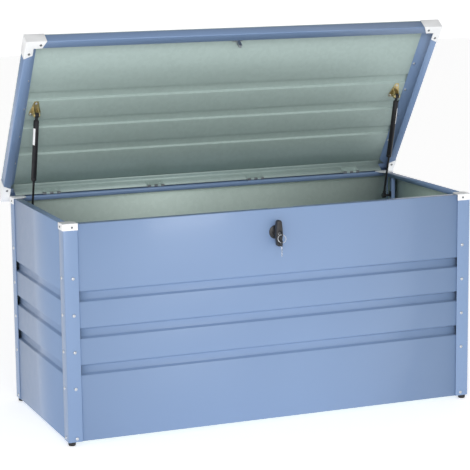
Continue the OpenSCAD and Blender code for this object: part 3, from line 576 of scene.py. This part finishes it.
# ---- Lid ----------------------------------------------------------------------
# The lid is drawn shut about its hinge line and then swung open. Its rim is
# four painted rails mitred at the corners, with a lip folded in below.
hinge = next(j for j in frame["joints"] if j["name"] == "lid_hinge")
hinge_line = Vector(hinge["pos_m"])
lid_open = Matrix.Translation(hinge_line) @ Matrix.Rotation(-math.radians(hinge["range_deg"][1]), 4, "X")
lid_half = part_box("lid_rail_front")[1].x
lid_front = 0.602
lid_back = 0.025
lid_depth = lid_front + lid_back
lid_middle = (lid_back - lid_front) / 2
rim_z = 0.004
rim_top = 0.0368
rim_lip = 0.024
rear_lip = 0.015
rim_flange = 0.043
rear_flange = 0.0202


def rail(name, length, flange, lip, place, node):
    line = ((lip, rim_z), (0, rim_z), (0, rim_top), (flange, rim_top))
    bm = strip(line, (-length / 2, length / 2))
    for v in bm.verts:
        v.co.x -= math.copysign(v.co.y, v.co.x)
    face_down_axis(bm, 1)
    round_folds(bm, thin_fold_r)
    bm.transform(lid_open @ place)
    put_together(name, bm, (blue_paint,), "lid", "blue_paint", node, wall=sheet_t)


rail("front_rim", 2 * lid_half, rim_flange, rim_lip,
     Matrix.Translation((0, -lid_front, 0)), "lid_rail_front")
rail("rear_rim", 2 * lid_half, rear_flange, rear_lip,
     Matrix.Translation((0, lid_back, 0)) @ Matrix.Rotation(math.pi, 4, "Z"), "lid_rail_rear")
for side, turn in (("left", -1), ("right", 1)):
    rail(side + "_rim", lid_depth, rim_flange, rim_lip,
         Matrix.Translation((turn * lid_half, lid_middle, 0)) @ Matrix.Rotation(turn * math.pi / 2, 4, "Z"),
         "lid_rail_" + side)

# ---- Lid sheet ------------------------------------------------------------------
# Painted outside and bare inside like the walls. Its three ribs stand up
# outside, run out just short of the rim, and it is riveted to the rails.
lid_channel_y = 0.2585
lid_channel_w = 0.036
lid_channel_d = 0.006
lid_channel_slope = 0.0025
lid_rib_flat = 0.011
lid_rib_ramp = 0.004
lid_fold_r = 0.0009
lid_ribs = [-lid_channel_y + i * channel_pitch for i in (-1, 0, 1)]
bm = ribbed(-lid_front, lid_back, lid_ribs, (lid_channel_w, lid_channel_d, lid_channel_slope),
            lid_half, lid_rib_flat, lid_rib_ramp)
round_folds(bm, lid_fold_r, 2)
bm.transform(lid_open @ Matrix.Translation((0, 0, rim_top + sheet_t)))
put_together("lid_top", bm, (blue_paint, bare_zinc), "lid", "blue_paint", "lid_sheet",
             wall=sheet_t, inner=1)

# ---- Hinge angle -----------------------------------------------------------------
# A bare galvanised angle with a wide bend runs along the back of the lid, under
# its sheet, and carries the hinges.
web_y = 0.0036
angle_leg = 0.016
angle_fold_r = 0.008
angle_low, angle_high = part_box("lid_hinge_angle")
bm = strip(((web_y - angle_leg, rim_top), (web_y + sheet_t, rim_top), (web_y + sheet_t, rim_z)),
           (angle_low.x, angle_high.x))
face_out(bm, (0, 1, 0))
round_folds(bm, angle_fold_r, 6)
bm.transform(lid_open)
put_together("hinge_angle", bm, (bare_zinc,), "lid", "galvanised_sheet", "lid_hinge_angle",
             wall=sheet_t)

# ---- Lid corner caps --------------------------------------------------------------
# White mouldings that wrap each corner of the rim: skirts outside, an angled
# plate under the lip and another on top of the lid.
cap_arm = 0.062
lid_cap_h = 0.038


def at_lid_corner(side):
    """Takes a piece made for a corner at the origin, lid towards +X and +Y, to its corner."""
    corner_at = (side[0] * lid_half, lid_middle + side[1] * lid_depth / 2, 0)
    return lid_open @ Matrix.Translation(corner_at) @ Matrix.Diagonal((-side[0], -side[1], 1, 1))


for name, side in corners.items():
    bm = bmesh.new()
    lip = rear_lip if side[1] > 0 else rim_lip
    arm_end = cap_arm - cap_cut
    floor_line = ((-cap_t, -cap_t), (cap_arm, -cap_t), (arm_end, lip), (rim_lip, lip),
                  (rim_lip, arm_end), (-cap_t, cap_arm))
    under = bm.faces.new([bm.verts.new((x, y, rim_z - cap_t)) for x, y in floor_line])
    tip = Vector((-cap_t, -cap_t))
    skirt = [e for e in under.edges if any((v.co.xy - tip).length < 1e-6 for v in e.verts)]
    raised = pull_up(bm, skirt, lid_cap_h)
    inner = [bm.verts.new((x, y, raised[0].co.z)) for x, y in ((arm_end, lip), (rim_lip, arm_end))]
    corner_vert = next(v for v in raised if v.co.x < 0 and v.co.y < 0)
    arm_x = next(v for v in raised if v.co.x > 0)
    arm_y = next(v for v in raised if v.co.y > 0)
    bm.faces.new([corner_vert, arm_x, inner[0], inner[1], arm_y])
    bmesh.ops.recalc_face_normals(bm, faces=bm.faces)
    roof = next(f for f in bm.faces if abs(f.normal.z) > 0.9 and f.calc_center_median().z > lid_cap_h / 2)
    if roof.normal.z < 0:
        bmesh.ops.reverse_faces(bm, faces=bm.faces)
    place_mirrored(bm, at_lid_corner(side))
    put_together("rim_cap_" + name, bm, (white_plastic,), "lid", "white_plastic", "lid_cap_" + name,
                 wall=cap_t, soft_edge=0.0006)

# ---- Rivets and small screws -----------------------------------------------------
# Domed zinc-plated rivets hold the lid sheet to its rim, and the hinges to the
# box and the lid. Small pan heads hold the lid caps from below.
def dome(radius, height, shank_r, reach):
    """A rivet pointing along +Z with the underside of its head at z = 0."""
    return turned(((0, -height), (radius * 0.35, -height * 0.96), (radius * 0.7, -height * 0.76),
                   (radius * 0.92, -height * 0.4), (radius, 0), (shank_r, 0), (shank_r, reach),
                   (0, reach)), 20)


def fixings(name, shape, places, finish, body, slot, node):
    bm = bmesh.new()
    for place in places:
        add_copy(bm, shape, place)
    shape.free()
    put_together(name, bm, (finish,), body, slot, node)


rivet_r = 0.00215
rivet_head_r = 0.0044
rivet_to_edge = 0.009
rivet_in = rim_flange - rivet_to_edge
side_rivet_y = 0.2655
side_rivets = [-side_rivet_y - i * channel_pitch for i in (-1.5, -0.5, 0.5, 1.5)]
rim_points = [(s * (lid_half - rivet_in), y) for s in (-1, 1) for y in side_rivets]
rim_points += [(i * 2 * half_w / 9, rivet_in - lid_front) for i in range(-4, 5)]
fixings("rim_rivets", dome(rivet_head_r, 0.0014, rivet_r, 0.0023),
        [lid_open @ Matrix.Translation((x, y, rim_top - sheet_t)) for x, y in rim_points],
        zinc_plate, "lid", "zinc_plate", "lid_rivets")

places = []
cap_screw_at = cap_arm - 0.018
for side in corners.values():
    arm_lip = rear_lip if side[1] > 0 else rim_lip
    for x, y in ((cap_screw_at, arm_lip / 2), (rim_lip / 2, cap_screw_at)):
        places.append(at_lid_corner(side) @ Matrix.Translation((x, y, rim_z - cap_t)))
fixings("rim_cap_screws", pan_head(0.004, 0.0015, screw_r, 0.002), places,
        dull_zinc, "lid", "zinc_plate", "lid_cap_screws")

# ---- Hinges ------------------------------------------------------------------------
# Four butt hinges with five knuckles each. One leaf is riveted down the back of
# the box and the other to the front of the hinge angle, and a pin joins them.
hinge_len = 0.058
hinge_pitch = 0.350
knuckle_r = 0.0036
pin_r = 0.0018
leaf_t = 0.0015
running_gap = 0.00006
knuckle = hinge_len / 5
hinge_xs = [i * hinge_pitch for i in (-1.5, -0.5, 0.5, 1.5)]


def block(bm, low, high):
    made = bmesh.ops.create_cube(bm, size=1)["verts"]
    size = Vector(high) - Vector(low)
    bmesh.ops.scale(bm, vec=size, verts=made)
    bmesh.ops.translate(bm, vec=(Vector(high) + Vector(low)) / 2, verts=made)


def ring(bore, radius, low, high, steps=32):
    soft = min(0.0006, (radius - bore) / 3)
    return turned(((bore, low), (radius - soft, low), (radius, low + soft), (radius, high - soft),
                   (radius - soft, high), (bore, high), (bore, low)), steps)


def hinge_leaf(bm, x, picks, low, high, bore, tab_low, tab_high):
    """A leaf from low to high in (y, z), with a knuckle and the tab that joins it at each pick."""
    half = hinge_len / 2
    play = 0.0001
    tab_in = 0.0004
    block(bm, (x - half + play, *low), (x + half - play, *high))
    for i in picks:
        start = x - half + i * knuckle
        add_copy(bm, ring(bore, knuckle_r, play, knuckle - play), Matrix.Translation((start, 0, 0)) @ into_x)
        block(bm, (start + tab_in, *tab_low), (start + knuckle - tab_in, *tab_high))


bm = bmesh.new()
for x in hinge_xs:
    hinge_leaf(bm, x, (0, 2, 4), (-0.0005, -0.024), (0.001, -0.0041), pin_r,
               (-0.0005, -0.0042), (0.001, -0.0028))
bm.transform(Matrix.Translation(hinge_line))
put_together("box_hinge_leaves", bm, (dull_zinc,), "box", "zinc_plate", "hinge_box_leaves",
             soft_edge=0.0002)

bm = bmesh.new()
for x in hinge_xs:
    hinge_leaf(bm, x, (1, 3), (web_y - leaf_t, 0.0042), (web_y, 0.0275), pin_r + running_gap,
               (0.0021, 0.0016), (0.0036, 0.0043))
bm.transform(lid_open)
put_together("lid_hinge_leaves", bm, (bare_zinc,), "lid", "zinc_plate", "hinge_lid_leaves",
             soft_edge=0.0002)

pin_soft = 0.0003
hinge_pin = turned(((0, 0), (pin_r - pin_soft, 0), (pin_r, pin_soft), (pin_r, hinge_len + 0.0004),
                    (pin_r - pin_soft, hinge_len + 0.0007), (0, hinge_len + 0.0007)), 20)
pin_starts = [x - hinge_len / 2 - pin_soft for x in hinge_xs]
fixings("hinge_pin_set", hinge_pin,
        [Matrix.Translation(hinge_line + Vector((x, 0, 0))) @ into_x for x in pin_starts],
        zinc_plate, "box", "zinc_plate", "hinge_pins")

backwards = Matrix.Rotation(math.pi / 2, 4, "X")
pairs = [x + s * hinge_len / 3 for x in hinge_xs for s in (-1, 1)]
fixings("box_hinge_rivets", dome(rivet_head_r, 0.0012, rivet_r, 0.0027),
        [Matrix.Translation(hinge_line + Vector((x, 0.001, -0.015))) @ backwards for x in pairs],
        zinc_plate, "box", "zinc_plate", "hinge_box_rivets")
fixings("lid_hinge_rivets", dome(rivet_head_r, 0.0012, rivet_r, 0.0027),
        [lid_open @ Matrix.Translation((x, web_y - leaf_t, 0.019)) @ into_y for x in pairs],
        bare_zinc, "lid", "zinc_plate", "hinge_lid_rivets")

# ---- Keeper, nut and hook ------------------------------------------------------------
# Three zinc-plated steel pieces of the lock: the keeper fixed under the front of
# the lid, the nut that clamps the lock to the wall, and the hook on its spindle.
for name in ("lock_keeper", "lock_nut", "lock_hook"):
    frame["nodes"][name].data.materials.clear()
    frame["nodes"][name].data.materials.append(zinc_plate)

# ---- Gas struts --------------------------------------------------------------------
# Black painted cylinders with a crimped gland, an eye at each end and a blank
# white label wrapped round the upper half.
black_gloss, tree, shader = finish_nodes("black_gloss", (0.018, 0.018, 0.02), 0.0, 0.32)
tone(tree, grain(tree, "ShaderNodeTexNoise", 40), "Fac", (0.014, 0.014, 0.016), (0.024, 0.024, 0.027), shader)
spread(tree, grain(tree, "ShaderNodeTexNoise", 120, 3), "Fac", 0.26, 0.4, shader, "Roughness")
shader.inputs["Specular IOR Level"].default_value = 0.2

strut_in = 0.048
strut_lid_y = 0.311
strut_lid_z = 0.016
strut_back = 0.072
strut_drop = 0.072
strut_x = half_w - strut_in
lid_pivot = lid_open @ Vector((0, -strut_lid_y, strut_lid_z))
box_pivot = Vector((0, rear_high.y + post_t - strut_back, wall_top - strut_drop))
span = (lid_pivot - box_pivot).length
lean = math.atan2(box_pivot.y - lid_pivot.y, lid_pivot.z - box_pivot.z)
strut_r = 0.0085
rod_r = 0.0035
eye_gap = 0.016
tube_len = 0.200
tube_top = span - eye_gap
tube_foot = tube_top - tube_len
gland = 0.014
eye_r = 0.008
eye_half = 0.006
strut_bore = rod_r + running_gap
label_start = 108
label_wrap = 134
label_steps = 14
label_edge = [(strut_r + out, tube_top - down)
              for out, down in ((-0.0001, 0.079), (0.0001, 0.079), (0.0001, 0.025), (-0.0001, 0.025))]
rod_top = tube_foot + gland + 0.012
for side, turn in (("left", -1), ("right", 1)):
    at_strut = Matrix.Translation(box_pivot + Vector((turn * strut_x, 0, 0))) @ Matrix.Rotation(lean, 4, "X")
    bm = bmesh.new()
    add_copy(bm, turned((
        (strut_bore, tube_foot), (0.0062, tube_foot), (0.0072, tube_foot + 0.0012),
        (strut_r, tube_foot + 0.0035),
        (strut_r, tube_foot + 0.009), (0.0080, tube_foot + 0.0098), (0.0080, tube_foot + 0.0112),
        (strut_r, tube_foot + 0.012), (strut_r, tube_top - 0.003), (0.0076, tube_top - 0.0008),
        (0.0062, tube_top),
        (0.005, tube_top), (0.005, span - 0.0045), (0, span - 0.0045), (0, tube_top - 0.006),
        (strut_r - 0.0012, tube_top - 0.006), (strut_r - 0.0012, tube_foot + gland),
        (strut_bore, tube_foot + gland), (strut_bore, tube_foot)), 40), Matrix())
    add_copy(bm, ring(0.00306, eye_r, -eye_half, eye_half), Matrix.Translation((0, 0, span)) @ into_x)
    bm.transform(at_strut)
    put_together("strut_tube_" + side, bm, (black_gloss,), "cylinder_" + side, "black_steel",
                 "strut_cylinder_" + side)

    bm = bmesh.new()
    columns = []
    for i in range(label_steps + 1):
        a = math.radians(label_start + i * label_wrap / label_steps)
        columns.append([bm.verts.new((-turn * r * math.cos(a), r * math.sin(a), z))
                        for r, z in label_edge])
    for here, there in zip(columns, columns[1:]):
        for i in range(4):
            bm.faces.new((here[i], here[i - 1], there[i - 1], there[i]))
    bm.faces.new(columns[0])
    bm.faces.new(columns[-1])
    bmesh.ops.recalc_face_normals(bm, faces=bm.faces)
    bm.transform(at_strut)
    put_together("strut_label_" + side, bm, (white_plastic,), "cylinder_" + side, "white_plastic")

    bm = bmesh.new()
    add_copy(bm, turned((
        (0, 0.002), (0.005, 0.002), (0.005, 0.015), (0.0045, 0.016), (rod_r, 0.016), (rod_r, rod_top - 0.008),
        (0.0072, rod_top - 0.008), (0.0072, rod_top), (0, rod_top)), 32), Matrix())
    add_copy(bm, turned(((0, -0.006), (0.0074, -0.006), (0.008, -0.0054), (0.008, 0.0054), (0.0074, 0.006),
                         (0, 0.006)), 32), into_x)
    bm.transform(at_strut)
    put_together("strut_piston_" + side, bm, (black_gloss,), "rod_" + side, "black_steel",
                 "strut_rod_" + side)

# ---- Strut brackets ------------------------------------------------------------------
# Yellow zinc plates under the lid sheet, pointed towards its front, with two
# folded ears and a riveted pivot pin.
yellow_zinc, tree, shader = finish_nodes("yellow_zinc", (0.62, 0.5, 0.22), 0.85, 0.35)
tone(tree, grain(tree, "ShaderNodeTexNoise", 70, 3), "Fac", (0.55, 0.43, 0.18), (0.70, 0.60, 0.33), shader)
spread(tree, grain(tree, "ShaderNodeTexNoise", 160, 2), "Fac", 0.28, 0.45, shader, "Roughness")


def slab(outline, thickness, edge=0.0):
    """A flat plate on the outline of (x, y) points, from z = 0 up."""
    bm = bmesh.new()
    face = bm.faces.new([bm.verts.new((x, y, 0)) for x, y in outline])
    pulled = bmesh.ops.extrude_face_region(bm, geom=[face])["geom"]
    bmesh.ops.translate(bm, vec=(0, 0, thickness), verts=new_corners(pulled))
    bmesh.ops.recalc_face_normals(bm, faces=bm.faces)
    if edge:
        rims = [e for e in bm.edges if abs(e.verts[0].co.z - e.verts[1].co.z) < 1e-7]
        round_edges(bm, rims, edge, 3)
    return bm


def arc(x, y, radius, start, stop, steps=12):
    turns = (math.radians(start + (stop - start) * i / steps) for i in range(steps + 1))
    return [(x + radius * math.cos(a), y + radius * math.sin(a)) for a in turns]


def stood_up(x):
    """Stands a slab up across X, with its own X along Y and its own Y up."""
    return Matrix(((0, 0, 1, x), (1, 0, 0, 0), (0, 1, 0, 0), (0, 0, 0, 1)))


bracket_t = 0.002
ear_out = 0.0065
ear_r = 0.007
for side, turn in (("left", -1), ("right", 1)):
    bm = bmesh.new()
    base = (arc(0.015, 0.013, 0.003, 0, 90, 4) + arc(-0.015, 0.013, 0.003, 90, 180, 4) + [(-0.018, 0.004)]
            + arc(-0.004, -0.035, 0.003, 200, 270, 4) + arc(0.004, -0.035, 0.003, -90, -20, 4)
            + [(0.018, 0.004)])
    add_copy(bm, slab(base, bracket_t, 0.0003), Matrix.Translation((0, 0, rim_top - bracket_t)))
    ear = ([(-0.012, rim_top - bracket_t)] + arc(0, strut_lid_z, ear_r, 190, 350, 14)
           + [(0.012, rim_top - bracket_t)])
    for x in (-ear_out - bracket_t, ear_out):
        add_copy(bm, slab(ear, bracket_t, 0.0003), stood_up(x))
    pin_half = ear_out + bracket_t + 0.0015
    add_copy(bm, turned(((0, -pin_half), (0.0042, -pin_half), (0.0046, -pin_half + 0.0006),
                         (0.0046, -pin_half + 0.0014), (0.003, -pin_half + 0.0014),
                         (0.003, pin_half - 0.0014), (0.0046, pin_half - 0.0014),
                         (0.0046, pin_half - 0.0006), (0.0042, pin_half), (0, pin_half)), 28),
             Matrix.Translation((0, 0, strut_lid_z)) @ into_x)
    bm.transform(lid_open @ Matrix.Translation((turn * strut_x, -strut_lid_y, 0)))
    put_together("lid_bracket_" + side, bm, (yellow_zinc,), "lid", "yellow_zinc", "strut_bracket_" + side)

bracket_holes = ((-0.013, 0.010), (0.013, 0.010), (0, -0.030))
screw_points = [(t * strut_x + x, y - strut_lid_y) for t in (-1, 1) for x, y in bracket_holes]
small_screw = (0.0041, 0.0016, rivet_r, 0.002)
fixings("lid_bracket_screws", pan_head(*small_screw),
        [lid_open @ Matrix.Translation((x, y, rim_top - bracket_t)) for x, y in screw_points],
        zinc_plate, "lid", "zinc_plate", "bracket_screws")

# ---- Lower strut plates -----------------------------------------------------------------
# Small black steel plates screwed to the rear inner angles, each with a
# stepped stud that the strut's lower eye hangs on.
plate_face = angle_in + sheet_t
plate_holes = (0.012, 0.021)
stud_gap = 0.0065
stud = strut_in - stud_gap - plate_face
plate = (arc(0, 0, 0.0094, 90, 270, 12) + arc(0.022, -0.007, 0.003, -90, 0, 4)
         + arc(0.022, 0.007, 0.003, 0, 90, 4))
for side, turn in (("left", -1), ("right", 1)):
    bm = bmesh.new()
    add_copy(bm, slab(plate, bracket_t, 0.0004), stood_up(0))
    add_copy(bm, turned(((0, 0.001), (0.0075, 0.001), (0.0075, 0.0042), (0.0068, 0.005), (0.004, 0.005),
                         (0.004, stud - 0.0005), (0.0035, stud), (0, stud)), 28), into_x)
    at_plate = Matrix.Translation(box_pivot + Vector((turn * (half_w - plate_face), 0, 0)))
    place_mirrored(bm, at_plate @ Matrix.Diagonal((-turn, 1, 1, 1)))
    put_together("lower_plate_" + side, bm, (black_gloss,), "box", "black_steel", "strut_plate_" + side)

places = []
for turn in (-1, 1):
    for y in plate_holes:
        at = box_pivot + Vector((turn * (half_w - plate_face - bracket_t), y, 0))
        places.append(Matrix.Translation(at) @ Matrix.Rotation(turn * math.pi / 2, 4, "Y"))
fixings("lower_plate_screws", pan_head(*small_screw), places, black_gloss, "box", "zinc_plate",
        "plate_screws")

# ---- Lock ----------------------------------------------------------------------------
# A black moulded T-handle on a round plate, with a bright key cylinder in its
# face. The spindle runs through the wall to the hook.
black_plastic, tree, shader = finish_nodes("black_plastic", (0.02, 0.02, 0.022), 0.0, 0.38)
tone(tree, grain(tree, "ShaderNodeTexNoise", 90), "Fac", (0.016, 0.016, 0.018), (0.03, 0.03, 0.032), shader)
rough_skin(tree, grain(tree, "ShaderNodeTexNoise", 1100, 2), "Fac", 0.08, 0.0003, shader)

bright_steel, tree, shader = finish_nodes("bright_steel", (0.7, 0.71, 0.72), 1.0, 0.2)
tone(tree, grain(tree, "ShaderNodeTexNoise", 200, 3), "Fac", (0.62, 0.63, 0.65), (0.78, 0.79, 0.8), shader)

lock_drop = 0.070
lock_z = wall_top - lock_drop
at_lock = Matrix.Translation((0, wall_low.y, lock_z)) @ into_y
spindle_r = 0.006
lock_bore = spindle_r + running_gap
rose_r = 0.021
barrel_r = 0.009
bm = turned(((lock_bore, -0.009), (0.0118, -0.009), (0.0128, -0.0082), (0.013, -0.0045),
             (0.0145, -0.004), (0.0195, -0.0036), (0.0208, -0.0026), (rose_r, -0.0012), (rose_r, 0),
             (barrel_r, 0), (barrel_r, 0.0113), (0.0083, 0.012), (lock_bore, 0.012),
             (lock_bore, -0.009)), 48)
bm.transform(at_lock)
put_together("lock_rose", bm, (black_plastic,), "box", "black_plastic", "lock_body")

bm = bmesh.new()
handle_far = 0.033
bar_near = 0.015
end_z = 0.032
bar_end_r = 0.008
waist_r = 0.0114
shoulder_x, shoulder_z = 0.0105, 0.010
bar = (arc(0, end_z, bar_end_r, 0, 180, 12) + [(-shoulder_x, shoulder_z)]
       + arc(0, 0, waist_r, 150, 210, 4)[1:-1] + [(-shoulder_x, -shoulder_z)]
       + arc(0, -end_z, bar_end_r, 180, 360, 12) + [(shoulder_x, -shoulder_z)]
       + arc(0, 0, waist_r, -30, 30, 4)[1:-1] + [(shoulder_x, shoulder_z)])
add_copy(bm, slab(bar, handle_far - bar_near, 0.0035), Matrix.Translation((0, 0, -handle_far)))
add_copy(bm, turned(((0, -bar_near - 0.002), (0.010, -bar_near - 0.002), (0.010, -0.0103), (0.0092, -0.0093),
                     (spindle_r, -0.0093), (spindle_r, 0.0215), (0, 0.0215)), 36), Matrix())
bm.transform(at_lock)
put_together("t_handle", bm, (black_plastic,), "handle", "black_plastic", "lock_handle")

# The key cylinder's face stands a little proud of the handle, with a raised rim.
bm = turned(((0, -0.0331), (0.0040, -0.0331), (0.0044, -0.0335), (0.0052, -0.0335),
             (0.0055, -0.0332), (0.0055, -0.0310), (0, -0.0310)), 36)
bm.transform(at_lock)
put_together("key_cylinder", bm, (bright_steel,), "key", "bright_steel", "lock_plug")

# ---- Keys and their ring -----------------------------------------------------------------
# One key stands in the cylinder. A wire ring through its moulded bow carries
# a spare, which hangs below with its blade down.
key_hole_r = 0.0035
key_t = 0.0026
blade_h = 0.007


def key_bow():
    """A moulded bow round a hole at the origin, swelling towards +Y."""
    bm = bmesh.new()
    steps = 40
    bow_r = 0.0095
    bow_out = 0.005
    least_r = 0.006
    rows = []
    for level, grow in ((-1, -0.0006), (-0.6, 0), (0.6, 0), (1, -0.0006)):
        line = []
        for i in range(steps):
            a = math.tau * i / steps
            far = bow_out * math.sin(a) + math.sqrt(bow_r ** 2 - (bow_out * math.cos(a)) ** 2)
            line.append((math.cos(a), math.sin(a), max(least_r, far) + grow, level * key_t / 2))
        rows.append(line)
    outer = [[bm.verts.new((c * r, s * r, z)) for c, s, r, z in line] for line in rows]
    inner = [[bm.verts.new((c * key_hole_r, s * key_hole_r, z)) for c, s, r, z in line]
             for line in (rows[0], rows[-1])]
    loops = outer + [inner[1], inner[0]]
    for here, there in zip(loops, loops[1:] + loops[:1]):
        for i in range(steps):
            j = (i + 1) % steps
            bm.faces.new((here[i], here[j], there[j], there[i]))
    bmesh.ops.recalc_face_normals(bm, faces=bm.faces)
    return bm


def key_blade(length):
    """A flat blade with a row of cuts along one side, pointing along +Y."""
    half = blade_h / 2
    cut_pitch = 0.004
    start, stop = 0.010, 0.010 + length
    line = [(-half, start), (half, start)]
    cuts = int((length - 3 * cut_pitch) / cut_pitch)
    for i in range(cuts):
        y = stop - cut_pitch - (cuts - i) * cut_pitch
        depth = (0.0012, 0.0022, 0.0016, 0.0006)[i % 4]
        line += [(half, y), (half - depth, y + 0.0014), (half - depth, y + 0.0024)]
    line += [(half, stop - 0.003), (half - 0.0025, stop), (-half + 0.001, stop), (-half, stop - 0.001)]
    bm = slab(line, key_t * 0.7)
    bm.transform(Matrix.Translation((0, 0, -key_t * 0.35)))
    return bm


key_out = 0.048
key_y = wall_low.y - key_out
upright_key = Matrix(((0, 0, 1, 0), (0, 1, 0, 0), (-1, 0, 0, 0), (0, 0, 0, 1)))
at_key = Matrix.Translation((0, key_y, lock_z)) @ upright_key
bm = key_bow()
place_mirrored(bm, at_key)
put_together("key_head", bm, (black_plastic,), "key", "black_plastic", "key", angle=50)
key_shown = 0.0072
bm = key_blade(key_shown)
place_mirrored(bm, at_key)
put_together("key_shaft", bm, (bright_steel,), "key", "bright_steel")

ring_r = 0.013
wire_r = 0.0009
ring_mid = ring_r - wire_r
ring_rise = 0.0012
ring_turn = math.radians(-35)
hang = (Matrix.Translation((0, key_y, lock_z - key_hole_r + wire_r + ring_rise))
        @ Matrix.Rotation(ring_turn, 4, "Z"))
wire_turns = [math.tau * i / 12 for i in range(13)]
bm = turned([(ring_mid + wire_r * math.cos(a), wire_r * math.sin(a)) for a in wire_turns], 64)
bm.transform(hang @ Matrix.Translation((0, 0, -ring_mid)) @ into_y)
put_together("wire_ring", bm, (zinc_plate,), "spare_key", "bright_steel", "key_ring")

at_spare = (hang @ Matrix.Translation((0, 0, key_hole_r - 2 * ring_mid - wire_r))
            @ into_y @ upright_key)
bm = key_bow()
place_mirrored(bm, at_spare)
put_together("spare_key_head", bm, (black_plastic,), "spare_key", "black_plastic", "spare_key", angle=50)
spare_length = 0.034
bm = key_blade(spare_length)
place_mirrored(bm, at_spare)
put_together("spare_key_shaft", bm, (bright_steel,), "spare_key", "bright_steel")

# ---- Last update -----------------------------------------------------------------------
# Brings every placement in the scene up to date.
bpy.context.view_layer.update()
